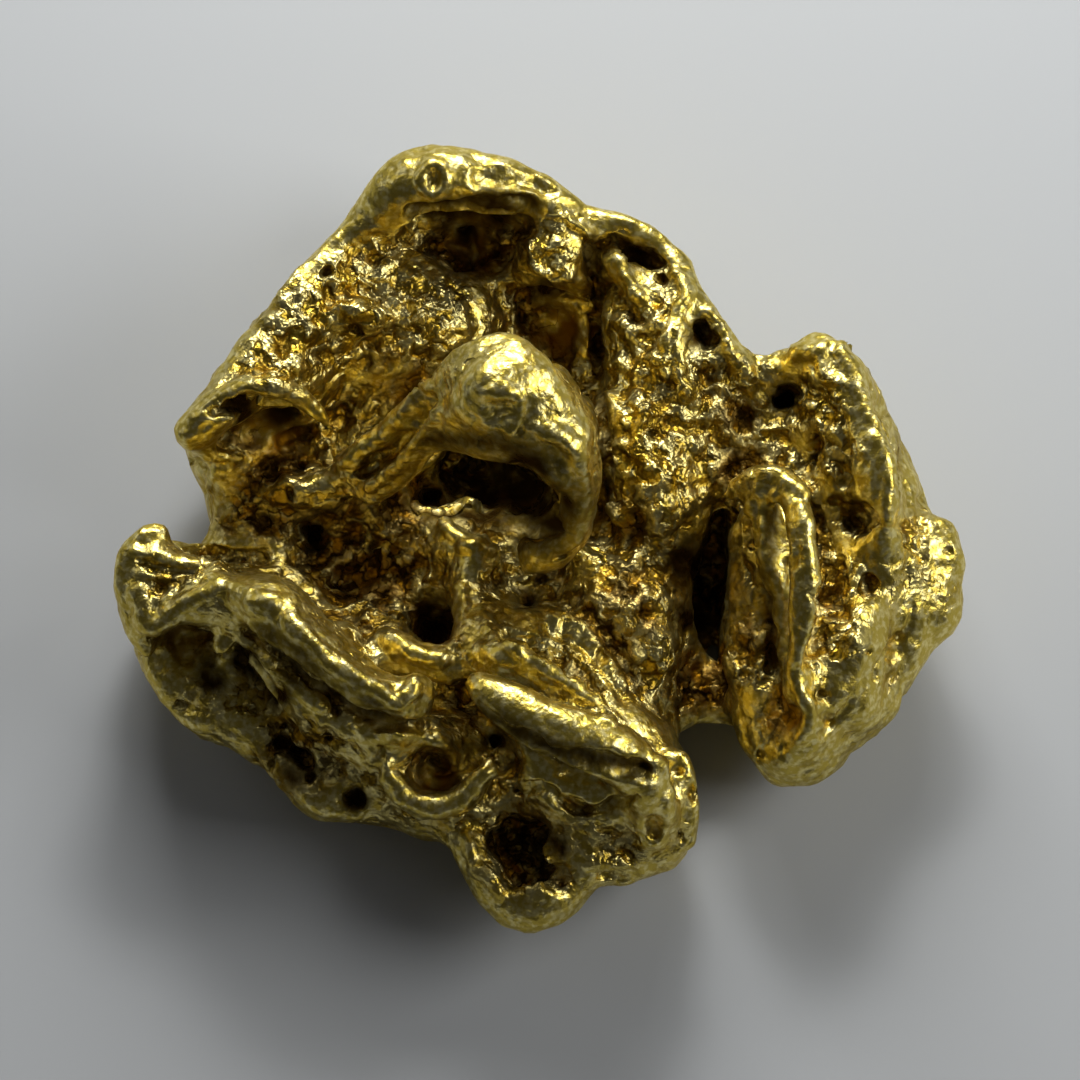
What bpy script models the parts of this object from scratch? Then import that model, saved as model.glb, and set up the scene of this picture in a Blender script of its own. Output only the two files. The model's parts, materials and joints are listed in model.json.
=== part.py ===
"""A natural gold nugget, water worn, of one piece: a bowl with rolled lips, a tall
lump in its middle, and a leaf-like lobe that hangs on at the right by a saddle.

Everything is drawn in millimetres as an eye above the table sees it. A place is
(right, up, height): right and up in the picture plane, from the picture's middle,
and the height above the table. seen() turns it into a point in space.
"""

import math

import bmesh
import bpy
from mathutils import Euler, Matrix, Vector, noise
from mathutils.bvhtree import BVHTree

MILLIMETRE = 0.001

# The eye, in millimetres and degrees
EYE_ELEVATION = 70.0
EYE_DISTANCE = 60.0
PICTURE_MIDDLE = Vector((0.0, -0.24, 2.0))

# How the forms melt into each other
MASS_VOXEL = 0.10
FORM_VOXEL = 0.065
MASS_SMOOTHING = 12
FORM_SMOOTHING = 2
DETAIL_VOXEL = 0.05
DETAIL_SMOOTHING = 1
SMOOTHING_SHARE = 0.5
TRIANGLES = 9700

# How finely the lumps, balls and tubes are divided before they melt together
LUMP_DIVISIONS = 4
BALL_DIVISIONS = 3
TUBE_DIVISIONS = 4
CURVE_DIVISIONS = 8

# What carries a ridge and a rim: width and drop of each course, in crest radii
BANKS = ((1.0, 0.0), (1.45, 0.9), (2.0, 2.0))
WALLS = ((1.0, 0.0), (1.5, 1.4), (2.1, 3.4), (2.5, 5.8), (2.7, 8.6))
WALL_LEAN = 0.10

# The crumpling of the skin and of the hollows: size of the crumples and how far they rise
SKIN_CRUMPLES = (0.34, 0.12)
HOLLOW_CRUMPLES = (0.22, 0.09)
CRUMPLE_OCTAVES = 3

GOLD = (0.86, 0.68, 0.24, 1.0)
GOLD_ROUGHNESS = 0.3

# The bowl's outline, clockwise from the knob at its top, and the height it is seen at
BOWL_LEVEL = 1.1
BOWL_OUTLINE = (
    (-1.40, 3.83), (-1.10, 3.86), (-0.68, 3.83), (-0.33, 3.76), (0.02, 3.62), (0.36, 3.40),
    (0.92, 3.28), (1.22, 3.12), (1.48, 2.85), (1.72, 2.45), (1.95, 2.05), (2.10, 1.75),
    (2.02, 1.35), (1.80, 0.95), (1.55, 0.55), (1.45, 0.00), (1.38, -0.60), (1.33, -1.20),
    (1.36, -1.75), (1.38, -2.00), (1.58, -2.25), (1.62, -2.65), (1.56, -3.00), (1.40, -3.25),
    (1.10, -3.38), (0.75, -3.45), (0.50, -3.48), (0.33, -3.62), (0.08, -3.78), (-0.20, -3.82),
    (-0.43, -3.66), (-0.60, -3.40), (-0.78, -3.10), (-1.10, -2.93), (-1.45, -2.83),
    (-1.93, -2.84), (-2.35, -2.72), (-2.60, -2.52), (-2.80, -2.23), (-3.02, -2.10),
    (-3.38, -1.98), (-3.70, -1.78), (-3.88, -1.55), (-4.02, -1.20), (-4.15, -0.78),
    (-4.20, -0.25), (-4.08, 0.00), (-3.80, 0.08), (-3.62, -0.05), (-3.42, -0.12),
    (-3.33, 0.30), (-3.45, 0.62), (-3.60, 0.90), (-3.60, 1.05), (-3.38, 1.40), (-3.12, 1.85),
    (-2.78, 2.35), (-2.35, 2.78), (-1.94, 3.10), (-1.76, 3.36), (-1.60, 3.62),
)

# The lobe's outline, clockwise from where it leaves the bowl's rim
LOBE_LEVEL = 1.2
LOBE_OUTLINE = (
    (2.02, 1.62), (2.25, 1.76), (2.48, 1.98), (2.80, 2.08), (3.04, 1.98), (3.28, 1.72),
    (3.50, 1.32), (3.70, 0.95), (3.83, 0.52), (3.90, 0.00), (4.08, -0.60), (4.02, -1.00),
    (3.76, -1.36), (3.42, -1.76), (3.02, -2.14), (2.70, -2.46), (2.44, -2.50), (2.16, -2.18),
    (1.94, -1.80), (1.88, -1.40), (1.88, -0.90), (1.88, -0.40), (1.90, 0.10), (1.90, 0.60),
    (1.75, 1.10),
)

# Levels of a slab: height, and the size of its outline there
BOWL_LEVELS = (
    (-0.30, 0.42), (0.05, 0.66), (0.35, 0.86), (0.65, 0.97), (0.95, 1.0), (1.15, 0.97),
    (1.25, 0.90),
)
LOBE_LEVELS = (
    (-0.05, 0.42), (0.20, 0.68), (0.45, 0.87), (0.80, 0.97), (1.10, 1.0), (1.40, 0.95),
    (1.55, 0.85),
)

# Lumps: place, radii, turn in degrees about the upright
MASSES = {
    "top": ((-0.60, 3.10, 1.4), (1.10, 0.55, 0.90), 0),
    "flank": ((-2.32, 1.88, 1.3), (0.56, 1.15, 1.00), -40),
    "plateau": ((-1.35, 2.15, 1.2), (1.15, 0.95, 0.90), 0),
    "arch": ((-2.75, 1.45, 1.8), (0.62, 0.36, 0.62), 12),
    "ledge": ((0.12, 2.72, 2.0), (0.42, 0.28, 0.55), -15),
    "sheet_top": ((1.08, 2.02, 1.4), (0.64, 1.08, 0.95), 14),
    "sheet": ((1.22, 0.75, 1.2), (0.62, 1.15, 0.95), 0),
    "sheet_foot": ((1.02, -0.75, 0.9), (0.52, 1.05, 0.85), 0),
    "left_wave": ((-3.15, -0.85, 1.1), (0.80, 0.52, 1.00), -22),
    "hump": ((-2.78, -0.52, 2.15), (0.36, 0.24, 0.36), 0),
    "middle_wave": ((-2.15, -1.30, 1.1), (0.80, 0.42, 0.95), -35),
    "terrace": ((-2.10, -1.85, 1.0), (0.70, 0.30, 0.70), -30),
    "curl": ((-1.15, -2.15, 0.95), (0.62, 0.48, 0.75), 0),
    "smooth_pad": ((-1.55, -1.95, 1.50), (0.42, 0.24, 0.42), -10),
    "web": ((-0.15, -1.15, 1.1), (1.05, 0.50, 0.85), -12),
    "great_mass": ((0.40, -2.00, 1.1), (1.10, 0.60, 0.95), -24),
    "front": ((0.85, -2.85, 0.8), (0.60, 0.48, 0.70), -10),
    "lump_foot": ((0.05, 1.05, 1.8), (0.48, 0.60, 1.3), 0),
    "hood": ((-0.33, 1.30, 3.20), (0.66, 0.56, 1.12), 0),
    "hood_right": ((0.14, 0.95, 3.0), (0.42, 0.66, 0.95), 20),
    "hood_tail": ((0.22, 0.25, 2.35), (0.32, 0.46, 0.70), 10),
    "chin": ((0.02, -0.10, 2.0), (0.24, 0.26, 0.45), 0),
    "arm_foot": ((-1.72, 0.72, 1.75), (0.42, 0.25, 0.40), 15),
    "saddle": ((1.95, 1.10, 1.35), (0.60, 0.60, 0.75), 0),
    "ear_body": ((2.38, -0.40, 1.35), (0.34, 1.20, 1.05), 0),
    "knob": ((-3.88, -0.35, 1.65), (0.30, 0.38, 0.45), 0),
    "bed": ((1.64, -0.60, 0.50), (0.45, 1.35, 0.42), 0),
    "lobe_top": ((3.00, 1.20, 1.4), (0.45, 0.85, 1.05), 18),
    "lobe_middle": ((3.30, -0.20, 1.2), (0.55, 1.10, 0.95), 0),
    "lobe_foot": ((2.85, -1.35, 1.1), (0.70, 0.80, 0.85), 25),
    "side_bump": ((4.00, -0.06, 1.50), (0.26, 0.30, 0.36), 0),
    "side_swell": ((3.84, -0.50, 1.20), (0.38, 0.60, 0.58), 8),
    "side_knob": ((3.40, -0.12, 2.1), (0.16, 0.20, 0.25), 0),
    "sole_left": ((-1.9, -0.6, 0.25), (1.0, 0.8, 0.40), 20),
    "sole_right": ((0.9, 0.3, 0.25), (0.9, 1.1, 0.40), -10),
    "sole_far": ((-0.9, 1.7, 0.35), (0.8, 0.6, 0.42), 0),
}

# Rims that stand on walls: points of (right, up, height, radius)
RIMS = {
    "left_edge": (
        (-1.62, 3.34, 2.3, 0.14), (-2.14, 2.86, 2.3, 0.13), (-2.66, 2.26, 2.3, 0.13),
        (-3.08, 1.72, 2.3, 0.13), (-3.44, 1.14, 2.2, 0.12),
    ),
    "right_rim": (
        (0.20, 3.34, 2.45, 0.13), (0.62, 3.24, 2.45, 0.11), (1.02, 3.12, 2.45, 0.11),
        (1.34, 2.84, 2.42, 0.11), (1.58, 2.44, 2.40, 0.11), (1.83, 2.03, 2.35, 0.12),
        (2.04, 1.68, 2.20, 0.13),
    ),
    "crest": (
        (2.55, 1.78, 2.3, 0.14), (2.78, 1.94, 2.5, 0.16), (3.03, 1.78, 2.55, 0.15),
        (3.16, 1.34, 2.55, 0.14), (3.32, 0.98, 2.55, 0.14), (3.45, 0.60, 2.5, 0.13),
        (3.45, 0.20, 2.35, 0.12),
    ),
}

# Ridges that stand on banks, laid the same way
RIDGES = {
    "small_rise": ((-2.00, 2.24, 2.30, 0.07), (-1.78, 2.29, 2.35, 0.08), (-1.62, 2.20, 2.3, 0.06)),
    "wave": (
        (-3.05, -0.55, 2.25, 0.15), (-2.72, -0.60, 2.50, 0.20), (-2.42, -0.92, 2.55, 0.20),
        (-2.05, -1.25, 2.50, 0.17), (-1.68, -1.50, 2.45, 0.16), (-1.40, -1.62, 2.40, 0.15),
        (-1.23, -1.46, 2.45, 0.11),
    ),
    "knob_rim": (
        (-4.00, -0.50, 2.0, 0.14), (-3.86, -0.82, 1.95, 0.14), (-3.55, -0.62, 2.15, 0.14),
        (-3.20, -0.48, 2.25, 0.14),
    ),
    "under_wave": (
        (-2.78, -1.05, 1.90, 0.09), (-2.58, -1.35, 1.85, 0.09), (-2.38, -1.60, 1.80, 0.10),
        (-2.05, -1.80, 1.80, 0.11), (-1.65, -1.92, 1.88, 0.16), (-1.25, -1.95, 1.88, 0.13),
        (-0.98, -2.02, 1.82, 0.09),
    ),
    "web_left": ((-1.55, -1.02, 1.80, 0.08), (-1.30, -1.14, 1.85, 0.10), (-0.90, -1.20, 1.85, 0.10)),
    "web_mid": (
        (-0.62, -0.95, 1.9, 0.09), (-0.40, -1.18, 2.1, 0.13), (-0.05, -1.28, 2.1, 0.12),
        (0.30, -1.48, 2.05, 0.10), (0.62, -1.72, 1.9, 0.08),
    ),
    "web_right": ((0.28, -0.95, 1.8, 0.07), (0.60, -1.25, 1.85, 0.08), (0.85, -1.62, 1.8, 0.07)),
    "front_edge": ((-0.05, -2.65, 1.4, 0.08), (0.30, -2.85, 1.4, 0.08), (0.75, -2.80, 1.4, 0.08)),
    "pocket_rim": (
        (-0.75, -2.98, 1.2, 0.09), (-0.60, -3.32, 1.1, 0.09), (-0.38, -3.62, 1.0, 0.09),
        (-0.10, -3.72, 1.0, 0.09), (0.15, -3.65, 1.0, 0.09), (0.35, -3.50, 1.0, 0.09),
    ),
    "inner_crest": ((2.72, 1.72, 2.4, 0.10), (2.92, 1.45, 2.4, 0.10), (2.95, 1.05, 2.3, 0.10)),
    "lobe_foot": ((3.25, -0.60, 2.0, 0.14), (3.20, -1.00, 1.95, 0.16), (2.95, -1.50, 1.8, 0.16)),
    "lobe_fork": ((2.60, -1.35, 2.1, 0.09), (2.68, -1.75, 1.9, 0.10), (2.60, -2.05, 1.6, 0.10)),
    "lobe_wall": (
        (2.02, 0.10, 1.9, 0.10), (2.00, -0.50, 1.7, 0.10), (2.06, -1.20, 1.5, 0.10),
        (2.20, -1.90, 1.3, 0.12),
    ),
    "inner_strand": (
        (0.28, 3.20, 2.45, 0.08), (0.50, 3.00, 2.48, 0.09), (0.80, 2.78, 2.45, 0.08),
        (0.98, 2.50, 2.40, 0.08), (1.10, 2.30, 2.35, 0.08),
    ),
    "inner_rib": (
        (1.42, 2.70, 2.40, 0.09), (1.47, 2.42, 2.42, 0.10), (1.32, 2.05, 2.42, 0.10),
        (1.22, 1.70, 2.35, 0.09),
    ),
    "thin_rib": ((1.42, 2.15, 2.40, 0.07), (1.40, 1.80, 2.35, 0.07), (1.50, 1.35, 2.20, 0.08)),
    "outer_arm": (
        (-1.00, 1.52, 3.25, 0.11), (-1.22, 1.30, 2.90, 0.09), (-1.52, 1.05, 2.40, 0.09),
        (-1.85, 0.85, 2.10, 0.09),
    ),
    "inner_arm": (
        (-0.98, 1.28, 3.20, 0.12), (-1.22, 0.98, 2.65, 0.09), (-1.45, 0.72, 2.20, 0.09),
        (-1.68, 0.50, 1.95, 0.08),
    ),
    "chin_fork": ((-0.92, 0.12, 1.50, 0.08), (-0.66, -0.12, 1.60, 0.09), (-0.45, 0.12, 1.75, 0.08)),
    "neck": ((-0.66, -0.12, 1.60, 0.09), (-0.72, -0.50, 1.60, 0.10), (-0.66, -0.98, 1.85, 0.10)),
    "floor_fold": ((-2.75, 0.45, 1.5, 0.08), (-2.35, 0.55, 1.6, 0.09), (-1.95, 0.62, 1.75, 0.09)),
    "floor_rise": ((-2.05, -0.35, 1.35, 0.08), (-1.70, -0.55, 1.4, 0.10), (-1.45, -0.85, 1.5, 0.10)),
    "knob_fold": ((-3.95, -0.18, 2.10, 0.11), (-3.62, -0.24, 2.12, 0.10), (-3.38, -0.28, 2.0, 0.09)),
    "sheet_fold": ((1.00, 1.30, 2.2, 0.09), (1.05, 0.80, 2.1, 0.10), (1.20, 0.30, 1.95, 0.09)),
    "sheet_edge": ((0.68, 1.45, 2.15, 0.08), (0.72, 0.90, 2.05, 0.09), (0.82, 0.35, 1.9, 0.09)),
    "low_fold": ((0.45, -0.10, 1.65, 0.09), (0.62, -0.55, 1.7, 0.11), (0.95, -0.85, 1.7, 0.10)),
}

# Free rolls and strands, laid the same way
ROLLS = {
    "top_lip": (
        (-1.56, 3.38, 2.42, 0.28), (-1.26, 3.58, 2.62, 0.34), (-0.85, 3.62, 2.68, 0.35),
        (-0.40, 3.55, 2.64, 0.31), (0.00, 3.45, 2.55, 0.24), (0.28, 3.34, 2.48, 0.16),
    ),
    "left_lip": (
        (-3.50, 1.05, 2.18, 0.20), (-3.25, 1.27, 2.38, 0.19), (-2.90, 1.45, 2.48, 0.19),
        (-2.55, 1.47, 2.48, 0.16), (-2.28, 1.33, 2.36, 0.12), (-2.10, 1.12, 2.15, 0.09),
    ),
    "shoulder": (
        (-1.02, 1.50, 3.30, 0.17), (-0.72, 1.78, 3.75, 0.20), (-0.30, 1.85, 3.85, 0.23),
        (0.02, 1.55, 3.80, 0.22), (0.22, 1.12, 3.60, 0.20), (0.40, 0.75, 3.30, 0.17),
        (0.42, 0.35, 2.90, 0.16), (0.30, 0.02, 2.50, 0.15), (0.00, -0.22, 2.15, 0.14),
    ),
    "horn": (
        (-3.76, 0.10, 2.12, 0.13), (-3.94, 0.04, 2.14, 0.15), (-4.08, -0.12, 2.08, 0.17),
        (-4.12, -0.45, 1.95, 0.18),
    ),
    "curl": (
        (-1.52, -2.22, 1.60, 0.15), (-1.40, -2.48, 1.50, 0.19), (-1.05, -2.62, 1.45, 0.20),
        (-0.75, -2.53, 1.52, 0.19), (-0.50, -2.28, 1.70, 0.13),
    ),
    "inner_curl": ((-1.30, -2.02, 1.8, 0.09), (-1.02, -2.02, 1.80, 0.09), (-0.85, -2.18, 1.65, 0.09)),
    "great_roll": (
        (-0.62, -1.45, 2.42, 0.18), (-0.35, -1.62, 2.45, 0.26), (0.00, -1.84, 2.42, 0.29),
        (0.35, -1.98, 2.38, 0.31), (0.72, -2.12, 2.30, 0.31), (1.00, -2.34, 2.10, 0.29),
        (1.12, -2.66, 1.80, 0.22), (1.14, -2.95, 1.45, 0.18),
    ),
    "great_belly": (
        (0.02, -2.38, 1.60, 0.26), (0.42, -2.52, 1.57, 0.29), (0.80, -2.60, 1.55, 0.26),
    ),
    "great_shelf": ((-0.42, -1.72, 1.95, 0.11), (-0.12, -1.98, 1.9, 0.13), (0.00, -2.25, 1.8, 0.14)),
    "side_plate": ((1.40, -2.18, 1.70, 0.14), (1.50, -2.60, 1.50, 0.14), (1.45, -3.00, 1.15, 0.15)),
    "front_lip": ((0.45, -3.25, 1.0, 0.17), (0.85, -3.28, 1.0, 0.17), (1.20, -3.12, 1.1, 0.17)),
    "bridge": ((1.30, -1.80, 0.72, 0.14), (1.65, -1.74, 0.68, 0.13), (2.00, -1.68, 0.72, 0.14)),
    "ear": (
        (1.92, 0.42, 2.20, 0.12), (2.12, 0.56, 2.50, 0.14), (2.40, 0.56, 2.65, 0.16),
        (2.58, 0.30, 2.75, 0.17), (2.62, -0.10, 2.75, 0.17), (2.62, -0.60, 2.60, 0.16),
        (2.58, -1.00, 2.35, 0.14), (2.52, -1.35, 2.10, 0.12),
    ),
    "inner_ear": (
        (2.16, 0.48, 2.45, 0.12), (2.20, 0.20, 2.42, 0.12), (2.26, -0.12, 2.38, 0.12),
        (2.36, -0.45, 2.30, 0.10),
    ),
}

# Hollows: place, radii, turn in degrees about the upright
HOLLOWS = {
    "under_top_lip": ((-0.75, 3.00, 2.05), (0.60, 0.28, 0.45), 0),
    "amber_cup": ((0.15, 2.12, 1.95), (0.42, 0.32, 0.48), 0),
    "left_pit": ((-2.28, 0.13, 1.2), (0.16, 0.19, 0.70), 0),
    "great_pit": ((-1.07, -0.78, 1.3), (0.29, 0.29, 1.05), 0),
    "oval_pit": ((-0.13, -0.60, 1.5), (0.11, 0.19, 0.70), 0),
    "basin": ((-1.75, -0.20, 1.55), (0.95, 0.50, 0.72), -20),
    "basin_side": ((-2.75, 0.25, 1.55), (0.62, 0.30, 0.40), -15),
    "hood_scoop": ((-0.48, 0.48, 2.20), (0.55, 0.46, 0.90), 0),
    "hood_dark": ((-0.10, 0.45, 2.70), (0.38, 0.36, 0.65), -20),
    "curl_cup": ((-1.02, -2.30, 1.70), (0.34, 0.27, 0.50), 0),
    "bottom_pocket": ((-0.30, -2.98, 1.15), (0.28, 0.26, 0.42), 0),
    "pocket_roof": ((0.20, -2.98, 0.95), (0.50, 0.24, 0.34), 0),
    "pocket_foot": ((-0.12, -3.32, 1.00), (0.28, 0.20, 0.34), 0),
    "ear_valley": ((2.95, -0.45, 2.15), (0.18, 0.70, 0.45), 0),
    "sole_dent": ((-0.3, -1.7, 0.0), (0.9, 0.6, 0.35), 30),
    "sole_pit": ((-2.4, 0.9, 0.25), (0.6, 0.4, 0.30), 0),
    "sole_nick": ((1.8, 1.3, 0.35), (0.4, 0.5, 0.35), 0),
}

# The wide channel between bowl and lobe, laid as the rolls are and cut away
CHANNEL = (
    (1.80, 0.45, 2.05, 0.12), (1.74, 0.05, 1.80, 0.18), (1.68, -0.45, 1.55, 0.24),
    (1.64, -1.00, 1.30, 0.26), (1.66, -1.55, 1.10, 0.22),
)

# Furrows that follow the skin: depth, then points of (right, up, radius)
FURROWS = {
    "wave_shade": (0.42, (
        (-2.98, -0.94, 0.08), (-2.78, -1.04, 0.12), (-2.50, -1.27, 0.13), (-2.22, -1.52, 0.13),
        (-1.92, -1.70, 0.12), (-1.55, -1.82, 0.10), (-1.20, -1.86, 0.08), (-0.96, -1.96, 0.07),
    )),
    "roll_shade": (0.24, (
        (-0.58, -1.66, 0.07), (-0.25, -1.92, 0.12), (0.15, -2.12, 0.14), (0.60, -2.20, 0.14),
        (1.00, -2.30, 0.13),
    )),
    "front_crack": (0.19, (
        (-0.20, -2.52, 0.05), (0.05, -2.50, 0.05), (0.24, -2.63, 0.06), (0.50, -2.72, 0.06),
        (0.76, -2.64, 0.06), (0.94, -2.57, 0.05),
    )),
    "lip_shade": (0.38, (
        (-3.25, 1.32, 0.07), (-2.98, 1.31, 0.09), (-2.70, 1.28, 0.10), (-2.42, 1.20, 0.09),
    )),
    "ledge_shade": (0.26, ((-0.20, 2.44, 0.06), (0.05, 2.50, 0.08), (0.32, 2.42, 0.08))),
    "far_crack": (0.50, (
        (0.47, 3.04, 0.07), (0.54, 2.60, 0.10), (0.57, 2.15, 0.11), (0.60, 1.70, 0.10),
    )),
    "near_crack": (0.42, (
        (0.62, 1.40, 0.08), (0.66, 0.98, 0.09), (0.70, 0.58, 0.10), (0.78, 0.36, 0.09),
    )),
    "dark_slot": (0.26, ((-3.38, -0.14, 0.08), (-3.08, -0.20, 0.09), (-2.72, -0.20, 0.07))),
    "ear_groove": (0.30, ((2.26, -0.42, 0.08), (2.30, -0.90, 0.10), (2.32, -1.35, 0.08))),
    "strand_shade": (0.19, ((0.62, 2.62, 0.06), (0.88, 2.38, 0.07), (1.00, 2.05, 0.06))),
    "rib_shade": (0.16, ((1.36, 1.95, 0.05), (1.32, 1.60, 0.06), (1.36, 1.25, 0.05))),
    "crest_shade": (0.22, ((2.62, 1.45, 0.07), (2.78, 1.10, 0.07), (2.80, 0.75, 0.08))),
    "side_fold": (0.12, ((-3.90, -1.30, 0.05), (-3.60, -1.62, 0.06), (-3.20, -1.72, 0.06))),
    "gap": (0.66, (
        (1.82, 0.48, 0.08), (1.76, 0.10, 0.13), (1.68, -0.40, 0.19), (1.64, -0.85, 0.20),
    )),
    "knob_shade": (0.22, ((-3.98, -0.98, 0.06), (-3.86, -1.06, 0.09), (-3.70, -0.92, 0.08))),
    "pale_fold": (0.16, ((-2.30, -1.95, 0.05), (-2.05, -2.02, 0.07), (-1.75, -2.10, 0.06))),
    "foot_crack": (0.13, ((0.55, -3.38, 0.05), (0.85, -3.36, 0.05), (1.15, -3.26, 0.04))),
}

# Folds that follow the skin: rise, then points of (right, up, radius)
FOLDS = {
    "second_rib": (0.10, (
        (-2.80, -1.12, 0.08), (-2.58, -1.40, 0.08), (-2.38, -1.64, 0.08), (-2.12, -1.82, 0.09),
    )),
    "floor_a": (0.07, ((-2.90, 0.35, 0.07), (-2.45, 0.42, 0.08), (-2.00, 0.35, 0.07))),
    "floor_b": (0.08, ((-2.20, -0.35, 0.08), (-1.85, -0.12, 0.09), (-1.55, 0.15, 0.08))),
    "floor_c": (0.07, ((-1.90, -0.75, 0.07), (-1.62, -0.55, 0.08), (-1.45, -0.25, 0.07))),
    "slope_a": (0.09, ((0.85, 1.62, 0.08), (1.05, 1.30, 0.10), (0.98, 0.92, 0.08))),
    "slope_b": (0.08, ((1.15, 0.72, 0.07), (1.30, 0.40, 0.09), (1.22, 0.02, 0.08))),
    "slope_c": (0.08, ((0.62, -0.20, 0.07), (0.85, -0.45, 0.09), (0.88, -0.82, 0.08))),
    "slope_d": (0.07, ((1.10, -0.55, 0.07), (1.22, -0.90, 0.08), (1.18, -1.30, 0.07))),
    "flank_a": (0.08, ((-2.55, 2.25, 0.09), (-2.35, 2.05, 0.10), (-2.45, 1.80, 0.08))),
    "flank_b": (0.07, ((-2.05, 2.62, 0.08), (-1.75, 2.60, 0.09), (-1.45, 2.70, 0.07))),
    "flank_c": (0.07, ((-1.20, 2.22, 0.08), (-0.95, 2.05, 0.09), (-0.75, 2.15, 0.07))),
    "flank_d": (0.06, ((-2.00, 1.75, 0.07), (-1.70, 1.62, 0.08), (-1.40, 1.70, 0.07))),
    "lobe_a": (0.08, ((2.78, 0.95, 0.08), (2.92, 0.72, 0.09), (2.90, 0.45, 0.08))),
    "lobe_b": (0.08, ((2.85, -0.85, 0.08), (3.05, -1.02, 0.10), (3.18, -0.80, 0.08))),
    "lobe_c": (0.06, ((2.25, 1.05, 0.07), (2.55, 0.95, 0.08), (2.75, 1.15, 0.07))),
    "lobe_d": (0.06, ((1.75, 0.85, 0.07), (2.05, 0.78, 0.08), (2.35, 0.85, 0.07))),
}

# Pits bored along the sight: right, up, radii right and up, depth
PITS = (
    (-3.50, -1.06, 0.40, 0.26, 0.58), (-0.64, 0.72, 0.42, 0.34, 1.00),
    (-0.22, 0.54, 0.44, 0.36, 1.05), (0.08, 0.18, 0.28, 0.24, 0.80),
    (-2.85, 1.02, 0.46, 0.22, 0.36), (-2.45, 0.98, 0.26, 0.16, 0.26),
    (-1.06, 0.50, 0.26, 0.22, 0.46), (1.74, -1.16, 0.10, 0.17, 1.80),
    (1.12, -2.90, 0.11, 0.21, 0.34), (-0.41, -2.02, 0.10, 0.15, 0.45),
    (-2.62, -2.05, 0.17, 0.13, 0.34), (-2.85, -2.22, 0.10, 0.12, 0.24),
    (-2.35, -2.20, 0.13, 0.12, 0.28), (-1.83, -2.60, 0.19, 0.11, 0.38),
    (-2.10, -2.45, 0.09, 0.08, 0.20), (3.15, 0.20, 0.25, 0.21, 0.45),
    (3.26, -0.47, 0.11, 0.21, 0.42), (2.45, 1.42, 0.18, 0.16, 0.38),
    (2.52, -1.75, 0.12, 0.16, 0.24), (2.84, -1.55, 0.12, 0.07, 0.14),
    (2.00, 1.25, 0.16, 0.15, 0.16), (1.65, 2.05, 0.14, 0.17, 0.34),
    (0.72, 2.98, 0.20, 0.11, 0.28), (1.02, 2.82, 0.22, 0.12, 0.28), (1.24, 2.60, 0.12, 0.11, 0.18),
    (-1.10, 0.47, 0.14, 0.09, 0.20), (0.70, 0.52, 0.09, 0.12, 0.20),
    (1.53, -2.53, 0.06, 0.12, 0.12), (0.22, -3.40, 0.18, 0.14, 0.30),
)

# How far off along the sight the eye's rays look for the skin, and the steps between two
# points of a fold or furrow that is laid on it
FAR_ENOUGH = 200.0
STEPS = 3


def sight_of(right, up):
    """The eye, and the direction in which it sees (right, up)."""
    tilt = math.radians(EYE_ELEVATION)
    eye = PICTURE_MIDDLE + EYE_DISTANCE * Vector((0.0, -math.cos(tilt), math.sin(tilt)))
    in_picture = PICTURE_MIDDLE + Vector((right, up * math.sin(tilt), up * math.cos(tilt)))
    return eye, (in_picture - eye).normalized()


def seen(right, up, height):
    """The point at that height above the table that the eye sees at (right, up)."""
    eye, sight = sight_of(right, up)
    return eye + sight * ((height - eye.z) / sight.z)


def mesh_of(bm):
    """A mesh of that bmesh, which is freed."""
    mesh = bpy.data.meshes.new("form")
    bm.to_mesh(mesh)
    bm.free()
    return mesh


def lump(place, radii, turn):
    """An ellipsoid."""
    bm = bmesh.new()
    bmesh.ops.create_icosphere(bm, subdivisions=LUMP_DIVISIONS, radius=1.0)
    stretch = Matrix.Diagonal((*radii, 1.0))
    rotation = Euler((0.0, 0.0, math.radians(turn))).to_matrix().to_4x4()
    bmesh.ops.transform(
        bm, matrix=Matrix.Translation(seen(*place)) @ rotation @ stretch, verts=bm.verts
    )
    return mesh_of(bm)


def ball(centre, radius):
    """A round end for a roll."""
    bm = bmesh.new()
    bmesh.ops.create_icosphere(
        bm, subdivisions=BALL_DIVISIONS, radius=radius, matrix=Matrix.Translation(centre)
    )
    return mesh_of(bm)


def tube(points):
    """A tapering tube with round ends, on a smooth curve through (place, radius) points."""
    curve = bpy.data.curves.new("tube", "CURVE")
    curve.dimensions = "3D"
    curve.bevel_depth = 1.0
    curve.bevel_resolution = TUBE_DIVISIONS
    curve.resolution_u = CURVE_DIVISIONS
    curve.use_fill_caps = True
    spline = curve.splines.new("BEZIER")
    spline.bezier_points.add(len(points) - 1)
    for node, (place, radius) in zip(spline.bezier_points, points):
        node.co = place
        node.handle_left_type = node.handle_right_type = "AUTO"
        node.radius = radius
    guide = bpy.data.objects.new("tube", curve)
    bpy.context.scene.collection.objects.link(guide)
    return [evaluated(guide), ball(*points[0]), ball(*points[-1])]


def roll(points, width=1.0, drop=0.0, lean=0.0):
    """A tube through points of (right, up, height, radius).

    It may be wider, and lower, than the points say; lean draws it in as it drops.
    """
    laid = []
    for right, up, height, radius in points:
        inward = 1.0 - lean * drop * radius
        place = seen(right, up, height) * Vector((inward, inward, 1.0))
        place.z -= drop * radius
        laid.append((place, width * radius))
    return tube(laid)


def on_skin(skin, right, up, deeper):
    """The place that lies so much deeper, along the sight, than the skin seen at (right, up)."""
    eye, sight = sight_of(right, up)
    hit = skin.ray_cast(eye, sight, FAR_ENOUGH)[0]
    return hit + sight * deeper


def along(points):
    """The points with even steps between them, so that what is laid on the skin hugs it."""
    finer = [points[0]]
    for start, end in zip(points, points[1:]):
        for step in range(1, STEPS + 1):
            finer.append(tuple(a + (b - a) * step / STEPS for a, b in zip(start, end)))
    return finer


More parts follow.
